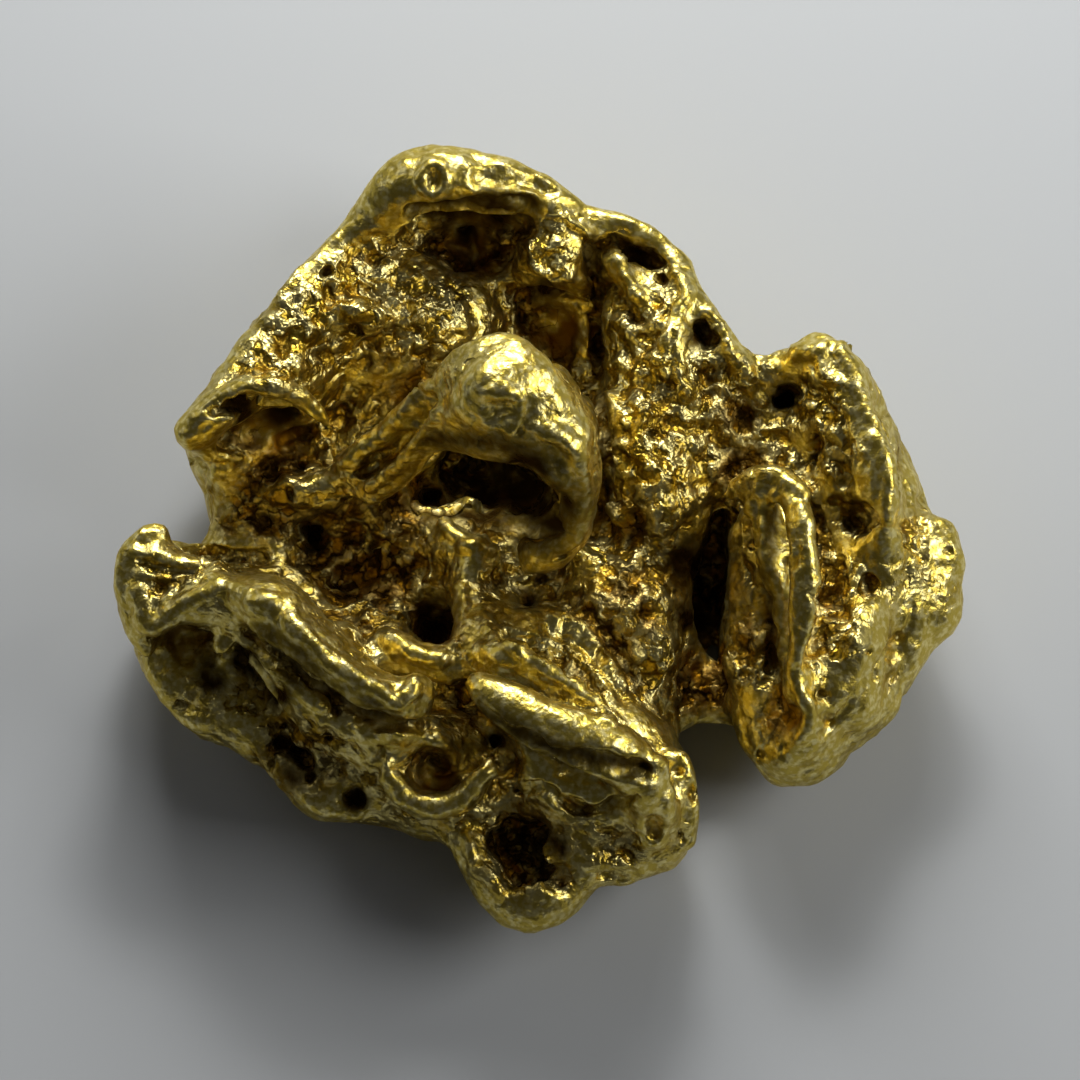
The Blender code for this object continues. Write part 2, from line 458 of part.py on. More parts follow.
def laid_on(skin, deeper, points):
    """Places of tubes that lie so much deeper than the skin, plus their radius."""
    return [(on_skin(skin, right, up, deeper + radius), radius) for right, up, radius in points]


def fold(skin, rise, points):
    """A tube that stands that far out of the skin."""
    return tube(laid_on(skin, -rise, along(points)))


def furrow(skin, depth, points):
    """Tubes one below the other, from the skin down to that depth."""
    widest = max(radius for _, _, radius in points)
    courses = max(1, math.ceil(depth / widest) - 1)
    tubes = []
    for course in range(1, courses + 1):
        foot = depth * course / courses
        tubes += tube(laid_on(skin, foot - 2 * widest, along(points)))
    return tubes


def pit(skin, right, up, radius_right, radius_up, depth):
    """An egg on end, along the sight, that reaches that deep below the skin."""
    bm = bmesh.new()
    bmesh.ops.create_icosphere(bm, subdivisions=BALL_DIVISIONS, radius=1.0)
    tilt = Matrix.Rotation(math.radians(90.0 - EYE_ELEVATION), 4, "X")
    stretch = Matrix.Diagonal((radius_right, radius_up, depth, 1.0))
    place = Matrix.Translation(on_skin(skin, right, up, 0.0))
    bmesh.ops.transform(bm, matrix=place @ tilt @ stretch, verts=bm.verts)
    return mesh_of(bm)


def slab(outline, level, levels):
    """A rounded slab: the outline, at another size on each level."""
    rim = [seen(right, up, level) for right, up in outline]
    centre = sum(rim, Vector()) / len(rim)
    bm = bmesh.new()
    loops = []
    for height, size in levels:
        places = (centre.lerp(point, size) for point in rim)
        loops.append([bm.verts.new((place.x, place.y, height)) for place in places])
    for low, high in zip(loops, loops[1:]):
        for i in range(len(rim)):
            bm.faces.new((low[i - 1], low[i], high[i], high[i - 1]))
    bm.faces.new(loops[0])
    bm.faces.new(loops[-1])
    bmesh.ops.recalc_face_normals(bm, faces=bm.faces)
    return mesh_of(bm)


def carried(points, courses, lean=0.0):
    """A roll on the wider courses that carry it down into the body."""
    return [mesh for width, drop in courses for mesh in roll(points, width, drop, lean)]


def crumpled(mesh, size, rise):
    """The mesh with its skin moved in and out in crumples of that size."""
    bm = bmesh.new()
    bm.from_mesh(mesh)
    bm.normal_update()
    for vert in bm.verts:
        swell = noise.fractal(vert.co / size, 1.0, 2.0, CRUMPLE_OCTAVES)
        vert.co += vert.normal * (rise * swell)
    return mesh_of(bm)


def tree_of(mesh):
    """What the eye's rays are cast at."""
    bm = bmesh.new()
    bm.from_mesh(mesh)
    tree = BVHTree.FromBMesh(bm)
    bm.free()
    return tree


def evaluated(workpiece):
    """The mesh of an object with its modifiers, after which the object is removed."""
    bpy.context.view_layer.update()
    graph = bpy.context.evaluated_depsgraph_get()
    mesh = bpy.data.meshes.new_from_object(workpiece.evaluated_get(graph))
    bpy.data.objects.remove(workpiece)
    return mesh


def workpiece_of(meshes):
    """One object that holds all of those meshes."""
    bm = bmesh.new()
    for mesh in meshes:
        bm.from_mesh(mesh)
    workpiece = bpy.data.objects.new("workpiece", mesh_of(bm))
    bpy.context.scene.collection.objects.link(workpiece)
    return workpiece


def fused(meshes, voxel, smoothing):
    """Overlapping closed meshes melted into one skin."""
    workpiece = workpiece_of(meshes)
    remesh = workpiece.modifiers.new("fuse", "REMESH")
    remesh.mode = "VOXEL"
    remesh.voxel_size = voxel
    if smoothing:
        smooth = workpiece.modifiers.new("melt", "SMOOTH")
        smooth.factor = SMOOTHING_SHARE
        smooth.iterations = smoothing
    return evaluated(workpiece)


def cutter_of(meshes):
    """Hollows melted into one cutter with a crumpled skin."""
    melted = fused(meshes, DETAIL_VOXEL, DETAIL_SMOOTHING)
    return fused([crumpled(melted, *HOLLOW_CRUMPLES)], DETAIL_VOXEL, 0)


def carved(body, cutter):
    """The body less the cutter."""
    tool = workpiece_of([cutter])
    workpiece = workpiece_of([body])
    cut = workpiece.modifiers.new("carve", "BOOLEAN")
    cut.operation = "DIFFERENCE"
    cut.solver = "EXACT"
    cut.object = tool
    mesh = evaluated(workpiece)
    bpy.data.objects.remove(tool)
    return mesh


def thinned(mesh, triangles):
    """The mesh with about that many triangles."""
    mesh.calc_loop_triangles()
    workpiece = workpiece_of([mesh])
    decimate = workpiece.modifiers.new("thin", "DECIMATE")
    decimate.ratio = triangles / len(mesh.loop_triangles)
    decimate.use_collapse_triangulate = True
    return evaluated(workpiece)


def seated(mesh):
    """The mesh cut off flat at the table, its box centred on the origin, in metres."""
    bm = bmesh.new()
    bm.from_mesh(mesh)
    everything = [*bm.verts, *bm.edges, *bm.faces]
    bmesh.ops.bisect_plane(
        bm, geom=everything, plane_co=(0, 0, 0), plane_no=(0, 0, 1), clear_inner=True
    )
    rims = [edge for edge in bm.edges if edge.is_boundary]
    bmesh.ops.holes_fill(bm, edges=rims)
    bmesh.ops.recalc_face_normals(bm, faces=bm.faces)
    keep_largest_body(bm)
    middle = [(min(row) + max(row)) / 2 for row in zip(*(vert.co for vert in bm.verts))]
    bmesh.ops.translate(bm, vec=(-middle[0], -middle[1], 0.0), verts=bm.verts)
    bmesh.ops.scale(bm, vec=(MILLIMETRE,) * 3, verts=bm.verts)
    return mesh_of(bm)


def keep_largest_body(bm):
    """Takes away the crumbs that the carving left loose."""
    unseen = set(bm.verts)
    bodies = []
    while unseen:
        body, edge_of_search = set(), [unseen.pop()]
        while edge_of_search:
            vert = edge_of_search.pop()
            body.add(vert)
            for edge in vert.link_edges:
                other = edge.other_vert(vert)
                if other in unseen:
                    unseen.discard(other)
                    edge_of_search.append(other)
        bodies.append(body)
    largest = max(bodies, key=len)
    loose = [vert for body in bodies if body is not largest for vert in body]
    bmesh.ops.delete(bm, geom=loose, context="VERTS")


def gold():
    """Native gold, worn to a soft shine."""
    material = bpy.data.materials.new("gold")
    material.use_nodes = True
    shader = material.node_tree.nodes["Principled BSDF"]
    shader.inputs["Base Color"].default_value = GOLD
    shader.inputs["Metallic"].default_value = 1.0
    shader.inputs["Roughness"].default_value = GOLD_ROUGHNESS
    return material


def nugget():
    """The nugget as one solid."""
    masses = [
        slab(BOWL_OUTLINE, BOWL_LEVEL, BOWL_LEVELS),
        slab(LOBE_OUTLINE, LOBE_LEVEL, LOBE_LEVELS),
        *(lump(*mass) for mass in MASSES.values()),
    ]
    rims = [mesh for points in RIMS.values() for mesh in carried(points, WALLS, WALL_LEAN)]
    body = crumpled(fused([*masses, *rims], MASS_VOXEL, MASS_SMOOTHING), *SKIN_CRUMPLES)
    ridges = [mesh for points in RIDGES.values() for mesh in carried(points, BANKS)]
    crests = [mesh for points in (*RIMS.values(), *ROLLS.values()) for mesh in roll(points)]
    body = fused([body, *ridges, *crests], FORM_VOXEL, FORM_SMOOTHING)
    hollows = [lump(*hollow) for hollow in HOLLOWS.values()]
    body = fused([carved(body, cutter_of([*hollows, *roll(CHANNEL)]))], FORM_VOXEL, FORM_SMOOTHING)
    skin = tree_of(body)
    folds = [mesh for item in FOLDS.values() for mesh in fold(skin, *item)]
    body = fused([body, *folds], DETAIL_VOXEL, DETAIL_SMOOTHING)
    furrows = [mesh for item in FURROWS.values() for mesh in furrow(skin, *item)]
    pits = [pit(skin, *item) for item in PITS]
    body = fused([carved(body, cutter_of([*furrows, *pits]))], DETAIL_VOXEL, DETAIL_SMOOTHING)
    solid = bpy.data.objects.new("nugget", seated(thinned(body, TRIANGLES)))
    bpy.context.scene.collection.objects.link(solid)
    solid.data.shade_smooth()
    solid.data.materials.append(gold())
    return solid


def main():
    for leftover in list(bpy.data.objects):
        bpy.data.objects.remove(leftover)
    nugget()


main()
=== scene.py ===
"""The look of a natural gold nugget that lies on pale paper, seen from above.

Places on the nugget are given as the eye sees them: (right, up) in millimetres from the
picture's middle. The nugget is the CAD solid with its facets smoothed away, finer folds,
furrows and pits worked into its skin, and grain where the water hasn't worn it.
"""

import json
import logging
import math
from dataclasses import dataclass, field
from enum import Enum
from typing import Iterable, Sequence

import bmesh
import bpy
import numpy as np
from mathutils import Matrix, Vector, noise
from mathutils.bvhtree import BVHTree

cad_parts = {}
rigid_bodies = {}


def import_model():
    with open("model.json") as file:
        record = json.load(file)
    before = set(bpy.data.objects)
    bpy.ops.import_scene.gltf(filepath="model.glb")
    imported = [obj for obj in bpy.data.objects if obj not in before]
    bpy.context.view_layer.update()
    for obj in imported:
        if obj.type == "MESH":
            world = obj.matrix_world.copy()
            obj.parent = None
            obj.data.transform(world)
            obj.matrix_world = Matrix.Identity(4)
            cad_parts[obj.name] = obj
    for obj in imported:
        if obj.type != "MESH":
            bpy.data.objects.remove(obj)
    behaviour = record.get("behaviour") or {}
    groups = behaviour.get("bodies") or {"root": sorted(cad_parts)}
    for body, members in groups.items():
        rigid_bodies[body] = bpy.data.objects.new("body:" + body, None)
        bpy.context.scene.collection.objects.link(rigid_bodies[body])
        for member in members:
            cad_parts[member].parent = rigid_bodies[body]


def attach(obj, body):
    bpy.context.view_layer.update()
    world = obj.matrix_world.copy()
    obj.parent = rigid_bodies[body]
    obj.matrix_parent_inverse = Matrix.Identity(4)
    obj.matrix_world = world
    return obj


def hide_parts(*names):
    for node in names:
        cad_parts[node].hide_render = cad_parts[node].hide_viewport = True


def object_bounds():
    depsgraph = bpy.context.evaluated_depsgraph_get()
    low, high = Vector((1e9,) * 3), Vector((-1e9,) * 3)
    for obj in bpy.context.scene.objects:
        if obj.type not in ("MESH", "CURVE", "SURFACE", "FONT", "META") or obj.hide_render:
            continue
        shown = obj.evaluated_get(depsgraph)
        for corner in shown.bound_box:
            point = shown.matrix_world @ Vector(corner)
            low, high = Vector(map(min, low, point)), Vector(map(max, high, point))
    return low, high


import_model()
cad_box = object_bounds()
logging.basicConfig(level=logging.INFO, format="%(message)s")
log = logging.getLogger("nugget")

MILLIMETRE = 0.001
BODY = "root"
NODE = "nugget"
RING_SIDES = 8

Colour = tuple[float, float, float, float]
Spot = tuple[float, float, float]
Band = tuple[float, float]


# The eye


@dataclass(frozen=True)
class Eye:
    """Where the picture is taken from, in millimetres and degrees."""

    elevation: float = 70.0
    distance: float = 60.0
    picture_width: float = 10.8
    middle: tuple[float, float, float] = (-0.0249, -0.4199, 2.0)
    sensor: float = 36.0

    def back(self) -> Vector:
        """The direction from the picture's middle to the eye."""
        tilt = math.radians(self.elevation)
        return Vector((0.0, -math.cos(tilt), math.sin(tilt)))

    def place(self) -> Vector:
        """The eye's own place."""
        return Vector(self.middle) + self.distance * self.back()

    def seen_at(self, points: np.ndarray) -> tuple[np.ndarray, np.ndarray]:
        """Where points are seen in the picture.

        Args:
            points: places in millimetres, one per row.

        Returns:
            How far right and how far up of the picture's middle each is seen.
        """
        back = np.array(self.back())
        upward = np.array((0.0, back[2], -back[1]))
        sight = points - np.array(self.place())
        nearer = self.distance / -(sight @ back)
        return sight[:, 0] * nearer, sight @ upward * nearer

    def camera(self) -> bpy.types.Object:
        """Makes the camera and makes it current for the scene.

        Returns:
            The camera object.
        """
        lens = bpy.data.cameras.new("camera")
        lens.sensor_width = self.sensor
        lens.lens = self.sensor * self.distance / self.picture_width
        lens.clip_start = MILLIMETRE
        lens.clip_end = 1.0
        camera = bpy.data.objects.new("camera", lens)
        bpy.context.scene.collection.objects.link(camera)
        camera.location = self.place() * MILLIMETRE
        camera.rotation_euler = (-self.back()).to_track_quat("-Z", "Y").to_euler()
        bpy.context.scene.camera = camera
        return camera


# Marks on the skin


class Kind(Enum):
    """What a stroke does to the skin: which way it moves it, if at all."""

    FOLD = 1.0
    FURROW = -1.0
    # A band of painted shade, which moves nothing
    SOOT = 0.0


@dataclass(frozen=True)
class Stroke:
    """A fold, furrow or band of painted shade: points of (right, up, radius) in millimetres.

    The height is in millimetres too, and for painted shade it is how dark the shade is painted, from
    0 to 1.
    """

    kind: Kind
    height: float
    points: tuple[Spot, ...]
    steps: int = 7

    def spots(self) -> list[Spot]:
        """Lays a smooth path through the points.

        Returns:
            Close spots on the path.
        """
        ends = [self.points[0], *self.points, self.points[-1]]
        knots = [np.array(point) for point in ends]
        spots = []
        for i in range(len(knots) - 3):
            before, start, end, after = knots[i : i + 4]
            for step in range(self.steps):
                t = step / self.steps
                path = (
                    2 * start
                    + (end - before) * t
                    + (2 * before - 5 * start + 4 * end - after) * t**2
                    + (3 * start - before - 3 * end + after) * t**3
                )
                spots.append(tuple(path / 2))
        return [*spots, self.points[-1]]


@dataclass(frozen=True)
class Pit:
    """A hole bored along the sight: place, radii right and up, depth, in millimetres."""

    right: float
    up: float
    wide: float
    tall: float
    depth: float


def fold(height: float, *points: Spot) -> Stroke:
    """A ridge that rises that high."""
    return Stroke(Kind.FOLD, height, points)


def furrow(depth: float, *points: Spot) -> Stroke:
    """A groove that goes that deep."""
    return Stroke(Kind.FURROW, depth, points)


def painted_shade(strength: float, *points: Spot) -> Stroke:
    """A band of painted shade of that strength."""
    return Stroke(Kind.SOOT, strength, points)


def ring(height: float, right: float, up: float, size: float, radius: float) -> Stroke:
    """Makes a round ridge.

    Args:
        height: how high it rises.
        right: its middle's place to the right.
        up: its middle's place upwards.
        size: from its middle to its crest.
        radius: half its thickness.

    Returns:
        The ridge, closed.
    """
    turns = [math.tau * i / RING_SIDES for i in range(RING_SIDES + 1)]
    points = ((right + size * math.cos(t), up + size * math.sin(t), radius) for t in turns)
    return Stroke(Kind.FOLD, height, tuple(points))


STROKES: tuple[Stroke, ...] = (
    # The top lip and what lies below it
    furrow(
        0.12,
        (-1.30, 3.32, 0.04), (-1.05, 3.30, 0.06), (-0.62, 3.34, 0.07), (-0.10, 3.36, 0.05),
    ),
    fold(0.07, (-1.55, 3.30, 0.16), (-1.30, 3.52, 0.20), (-1.05, 3.62, 0.20), (-0.80, 3.60, 0.14)),
    furrow(0.06, (-0.62, 3.62, 0.06), (-0.20, 3.58, 0.06), (0.10, 3.48, 0.05)),
    ring(0.05, -1.05, 3.62, 0.13, 0.035),
    fold(0.06, (-0.85, 3.02, 0.05), (-0.60, 2.98, 0.06), (-0.35, 3.05, 0.05)),
    furrow(
        0.10,
        (-0.68, 3.10, 0.03), (-0.66, 2.95, 0.03), (-0.70, 2.78, 0.03), (-0.82, 2.72, 0.03),
    ),
    fold(0.07, (-0.28, 3.05, 0.04), (-0.08, 2.95, 0.05), (0.05, 2.75, 0.05), (0.28, 2.68, 0.05)),
    fold(0.06, (0.34, 2.70, 0.04), (0.46, 2.50, 0.05), (0.50, 2.32, 0.04)),
    # The upper right rim, its strands and ribs
    fold(
        0.07,
        (0.18, 3.25, 0.04), (0.40, 3.12, 0.05), (0.70, 2.96, 0.04), (0.92, 2.53, 0.04),
        (1.01, 2.45, 0.05),
    ),
    fold(0.08, (1.38, 2.68, 0.04), (1.47, 2.45, 0.05), (1.35, 2.16, 0.05), (1.21, 1.78, 0.04)),
    fold(0.07, (1.42, 2.13, 0.03), (1.38, 1.84, 0.04), (1.47, 1.46, 0.04)),
    fold(0.05, (1.71, 2.30, 0.04), (2.02, 1.73, 0.05), (2.20, 1.38, 0.04)),
    furrow(0.09, (0.62, 3.00, 0.04), (0.95, 2.86, 0.05), (1.25, 2.74, 0.04)),
    fold(0.05, (0.80, 2.20, 0.05), (1.00, 2.05, 0.06), (1.18, 2.12, 0.05)),
    fold(0.05, (0.75, 1.75, 0.05), (0.95, 1.68, 0.05), (1.15, 1.80, 0.05)),
    # The left lip
    fold(0.05, (-3.55, 1.05, 0.06), (-3.35, 1.28, 0.06), (-3.00, 1.50, 0.06), (-2.60, 1.55, 0.06)),
    furrow(
        0.10,
        (-3.28, 1.28, 0.04), (-3.00, 1.38, 0.05), (-2.70, 1.38, 0.05), (-2.45, 1.25, 0.04),
    ),
    fold(0.06, (-2.50, 0.97, 0.03), (-2.30, 0.94, 0.04), (-2.12, 1.08, 0.04)),
    furrow(0.06, (-3.50, 0.78, 0.03), (-3.30, 0.72, 0.03), (-3.12, 0.74, 0.03)),
    fold(0.05, (-3.17, 0.12, 0.04), (-2.89, 0.39, 0.05), (-2.53, 0.56, 0.04)),
    fold(0.06, (-2.01, 2.31, 0.04), (-1.75, 2.29, 0.06), (-1.50, 2.20, 0.05)),
    # The arms and the hood
    fold(0.07, (-1.19, 1.56, 0.05), (-1.40, 1.30, 0.05), (-1.66, 1.00, 0.05), (-1.95, 0.80, 0.05)),
    fold(0.08, (-1.04, 1.27, 0.05), (-1.30, 0.90, 0.05), (-1.68, 0.52, 0.05)),
    furrow(
        0.22,
        (-1.12, 1.42, 0.05), (-1.28, 1.15, 0.07), (-1.55, 0.86, 0.07), (-1.80, 0.66, 0.05),
    ),
    ring(0.04, -0.39, 1.31, 0.19, 0.045),
    fold(0.06, (-0.07, 1.16, 0.06), (0.37, 0.88, 0.07), (0.41, 0.41, 0.06), (0.32, 0.15, 0.05)),
    furrow(0.06, (0.12, 0.92, 0.06), (0.21, 0.81, 0.07), (0.26, 0.62, 0.06)),
    fold(0.08, (-0.93, 0.15, 0.04), (-0.68, -0.10, 0.05), (-0.47, 0.18, 0.04)),
    furrow(0.10, (-1.30, 0.30, 0.08), (-0.95, 0.36, 0.10), (-0.55, 0.34, 0.09)),
    fold(0.05, (-0.43, 0.20, 0.04), (-0.25, 0.25, 0.05), (-0.09, 0.20, 0.04)),
    fold(0.05, (0.36, 0.02, 0.06), (0.10, -0.10, 0.06), (-0.20, -0.35, 0.06)),
    furrow(0.05, (-0.55, 1.35, 0.06), (-0.48, 1.20, 0.06), (-0.40, 1.08, 0.05)),
    # The basin's floor
    fold(0.06, (-0.80, -0.48, 0.04), (-0.75, -0.75, 0.05), (-0.80, -1.05, 0.05)),
    fold(0.05, (-1.15, 0.30, 0.05), (-1.00, 0.00, 0.06), (-1.05, -0.35, 0.05)),
    furrow(0.06, (-3.35, -0.14, 0.06), (-3.05, -0.20, 0.07), (-2.75, -0.16, 0.05)),
    # The wave and what hangs below it
    fold(0.06, (-3.25, -0.37, 0.07), (-2.95, -0.60, 0.08), (-2.72, -0.63, 0.08)),
    fold(
        0.07,
        (-2.50, -0.78, 0.07), (-2.20, -1.13, 0.06), (-1.91, -1.32, 0.06), (-1.55, -1.53, 0.06),
    ),
    fold(0.06, (-1.45, -1.60, 0.06), (-1.30, -1.55, 0.06), (-1.25, -1.44, 0.05)),
    fold(
        0.07,
        (-2.76, -0.98, 0.05), (-2.58, -1.24, 0.05), (-2.39, -1.52, 0.05), (-2.14, -1.66, 0.05),
    ),
    fold(
        0.06,
        (-4.02, -0.52, 0.06), (-3.88, -0.86, 0.06), (-3.56, -0.62, 0.06), (-3.22, -0.50, 0.05),
    ),
    fold(0.05, (-4.05, -0.12, 0.05), (-3.70, -0.22, 0.05), (-3.45, -0.22, 0.04)),
    furrow(0.05, (-4.02, -0.20, 0.03), (-3.72, -0.32, 0.04), (-3.48, -0.30, 0.03)),
    fold(0.05, (-3.98, -0.34, 0.04), (-3.70, -0.42, 0.05), (-3.42, -0.38, 0.04)),
    fold(0.13, (-3.46, -1.06, 0.08), (-3.31, -1.08, 0.10), (-3.18, -1.02, 0.07)),
    furrow(0.07, (-3.05, -1.10, 0.06), (-2.85, -1.28, 0.06), (-2.62, -1.55, 0.05)),
    fold(0.04, (-3.95, -1.15, 0.08), (-3.62, -1.50, 0.09), (-3.25, -1.55, 0.08)),
    furrow(0.04, (-3.60, -1.66, 0.03), (-3.30, -1.70, 0.03), (-3.05, -1.64, 0.03)),
    # The curl
    fold(
        0.08,
        (-1.58, -2.25, 0.06), (-1.40, -2.52, 0.07), (-1.05, -2.66, 0.08), (-0.76, -2.57, 0.07),
        (-0.51, -2.28, 0.05),
    ),
    fold(
        0.07,
        (-1.12, -1.98, 0.04), (-0.92, -2.08, 0.05), (-0.88, -2.25, 0.04), (-1.02, -2.34, 0.03),
    ),
    furrow(0.08, (-1.61, -2.12, 0.04), (-1.61, -2.35, 0.04)),
    # The great roll and its face
    fold(0.05, (1.25, -2.20, 0.06), (1.35, -2.38, 0.06), (1.31, -2.80, 0.06)),
    furrow(
        0.09,
        (-0.22, -2.51, 0.03), (0.04, -2.49, 0.03), (0.21, -2.62, 0.04), (0.49, -2.72, 0.04),
        (0.74, -2.64, 0.04), (0.94, -2.58, 0.03),
    ),
    # The bottom pocket
    fold(0.07, (-0.75, -2.96, 0.05), (-0.62, -3.25, 0.05), (-0.41, -3.55, 0.05)),
    furrow(0.06, (0.61, -3.37, 0.03), (0.96, -3.34, 0.03)),
    fold(0.05, (0.49, -3.25, 0.05), (0.72, -3.25, 0.06), (0.94, -3.30, 0.05)),
    # The strands between the floor and the great roll
    fold(
        0.07,
        (-1.71, -0.87, 0.05), (-1.45, -1.00, 0.06), (-1.20, -1.16, 0.06), (-0.95, -1.18, 0.05),
    ),
    fold(0.06, (-0.60, -0.70, 0.05), (-0.45, -0.98, 0.06), (-0.20, -1.10, 0.05)),
    fold(0.06, (-0.30, -1.05, 0.05), (0.10, -1.30, 0.06), (0.52, -1.58, 0.05), (0.72, -1.78, 0.04)),
    furrow(0.09, (-0.35, -0.98, 0.05), (0.10, -1.12, 0.06), (0.55, -1.45, 0.06)),
    fold(0.06, (0.10, -0.72, 0.04), (0.45, -0.95, 0.05), (0.72, -1.30, 0.04)),
    furrow(0.08, (0.15, -0.90, 0.05), (0.50, -1.12, 0.06), (0.85, -1.55, 0.05)),
    # The lobe
    fold(0.08, (2.61, 1.87, 0.06), (2.79, 1.87, 0.06), (2.95, 1.58, 0.06)),
    fold(
        0.06,
        (3.00, 1.90, 0.05), (3.16, 1.58, 0.06), (3.44, 1.01, 0.06), (3.51, 0.67, 0.06),
        (3.49, 0.20, 0.05),
    ),
    furrow(0.08, (2.90, 1.30, 0.06), (3.00, 0.98, 0.06), (3.05, 0.60, 0.05)),
    fold(0.07, (2.63, 1.42, 0.05), (2.92, 1.10, 0.06), (2.95, 0.75, 0.06), (2.95, 0.60, 0.05)),
    fold(0.06, (1.83, 0.48, 0.05), (2.12, 0.62, 0.06), (2.46, 0.63, 0.06), (2.66, 0.48, 0.05)),
    fold(0.06, (2.22, 0.50, 0.05), (2.10, 0.22, 0.05), (2.08, 0.05, 0.04)),
    fold(0.05, (2.34, 0.46, 0.04), (2.26, 0.20, 0.04), (2.24, 0.00, 0.04)),
    furrow(0.05, (2.16, 0.36, 0.03), (2.15, 0.15, 0.03), (2.16, -0.05, 0.03)),
    fold(0.05, (2.62, 0.30, 0.05), (2.68, -0.10, 0.05), (2.70, -0.70, 0.05), (2.56, -1.20, 0.05)),
    fold(0.05, (2.61, -1.48, 0.04), (2.70, -1.76, 0.05), (2.60, -2.00, 0.05)),
    furrow(0.05, (3.33, 1.35, 0.03), (3.42, 1.24, 0.03), (3.52, 1.26, 0.02)),
    furrow(0.05, (3.60, 0.62, 0.02), (3.68, 0.50, 0.03), (3.70, 0.35, 0.02)),
    furrow(0.06, (3.62, 0.15, 0.03), (3.68, 0.00, 0.03), (3.76, -0.10, 0.03)),
    furrow(0.05, (2.70, -0.56, 0.02), (2.95, -0.66, 0.03), (3.08, -0.72, 0.02)),
    furrow(0.04, (3.60, -0.95, 0.03), (3.42, -1.20, 0.03), (3.35, -1.42, 0.02)),
    furrow(0.04, (3.75, -0.70, 0.02), (3.62, -1.05, 0.03), (3.50, -1.20, 0.02)),
    furrow(0.04, (3.10, -1.60, 0.02), (2.95, -1.80, 0.03), (2.80, -1.95, 0.02)),
    furrow(0.06, (3.82, 0.42, 0.03), (3.83, 0.10, 0.03), (3.82, -0.20, 0.03)),
)

PITS: tuple[Pit, ...] = (
    Pit(-1.05, 3.62, 0.09, 0.09, 0.09),
    Pit(-0.75, 3.10, 0.06, 0.04, 0.14),
    Pit(-2.14, 2.68, 0.08, 0.06, 0.16),
    Pit(-1.84, 2.13, 0.09, 0.07, 0.16),
    Pit(-2.38, 0.75, 0.06, 0.05, 0.14),
    Pit(-2.48, 0.46, 0.05, 0.08, 0.14),
    Pit(-1.10, 0.48, 0.14, 0.08, 0.26),
    Pit(-1.35, 1.20, 0.06, 0.08, 0.12),
    Pit(-0.39, 1.31, 0.15, 0.12, 0.10),
    Pit(-0.20, 1.12, 0.09, 0.08, 0.06),
    Pit(0.70, 0.52, 0.08, 0.12, 0.22),
    Pit(0.60, 1.95, 0.09, 0.14, 0.16),
    Pit(0.20, -0.15, 0.10, 0.08, 0.14),
    Pit(-0.02, -0.42, 0.07, 0.06, 0.10),
    Pit(-1.08, -2.20, 0.10, 0.08, 0.14),
    Pit(-0.98, -2.22, 0.06, 0.08, 0.10),
    Pit(-2.62, -2.05, 0.09, 0.10, 0.16),
    Pit(-2.86, -1.72, 0.07, 0.05, 0.12),
    Pit(-2.70, -2.25, 0.06, 0.10, 0.16),
    Pit(-2.42, -2.10, 0.11, 0.07, 0.18),
    Pit(-2.28, -2.38, 0.08, 0.07, 0.14),
    Pit(-2.12, -1.92, 0.06, 0.08, 0.12),
    Pit(-2.55, -1.86, 0.06, 0.04, 0.12),
    Pit(1.04, -2.27, 0.11, 0.07, 0.12),
    Pit(1.53, -2.53, 0.05, 0.12, 0.14),
    Pit(1.40, -2.30, 0.06, 0.05, 0.10),
    Pit(1.42, -2.95, 0.03, 0.09, 0.08),
    Pit(0.18, -2.33, 0.07, 0.04, 0.05),
    Pit(2.98, 0.42, 0.12, 0.08, 0.16),
    Pit(2.51, -0.23, 0.07, 0.08, 0.08),
    Pit(2.80, -1.53, 0.10, 0.06, 0.12),
    Pit(2.88, -1.78, 0.11, 0.09, 0.10),
    Pit(2.44, -2.08, 0.05, 0.05, 0.06),
    Pit(2.20, -2.15, 0.08, 0.05, 0.12),
    Pit(3.63, -0.98, 0.05, 0.05, 0.08),
    Pit(3.28, -1.10, 0.05, 0.04, 0.08),
    Pit(4.06, -0.14, 0.07, 0.05, 0.06),
    Pit(0.62, -1.15, 0.07, 0.10, 0.16),
    Pit(0.85, -0.62, 0.07, 0.06, 0.10),
    Pit(1.00, 0.20, 0.06, 0.06, 0.10),
    Pit(1.12, 1.05, 0.06, 0.05, 0.10),
)

# Soft discs of (right, up, radius): where the skin is smooth though it is no ridge, where it is
# grainy though it is one, where it is brown, and where shade is painted on it
SMOOTH_SPOTS: tuple[Spot, ...] = (
    (-1.30, 3.60, 0.45), (-0.70, 3.55, 0.45), (-0.15, 3.45, 0.40), (-0.68, 3.05, 0.35),
    (0.20, 2.12, 0.35), (-0.30, 1.45, 0.60), (0.15, 0.90, 0.50), (0.25, 0.35, 0.45),
    (-0.20, 0.60, 0.40), (-0.85, 1.35, 0.30), (-3.40, 1.05, 0.30), (-2.70, 1.10, 0.40),
    (-3.45, -1.10, 0.55), (-2.75, -0.65, 0.45), (-2.20, -1.20, 0.40), (-1.60, -1.60, 0.40),
    (-1.55, -1.95, 0.35), (-1.05, -2.50, 0.45), (-0.30, -1.70, 0.40), (0.30, -2.00, 0.50),
    (0.80, -2.20, 0.45), (0.30, -2.40, 0.45), (0.90, -2.60, 0.40), (1.20, -2.80, 0.35),
    (2.40, 0.25, 0.40), (2.55, -0.40, 0.35), (2.60, -1.00, 0.30), (3.25, 1.20, 0.35),
    (3.40, 0.60, 0.30), (3.70, -0.90, 0.60), (3.20, -1.50, 0.50), (2.80, -1.90, 0.50),
    (4.10, -0.20, 0.35), (3.65, 0.50, 0.40),
)
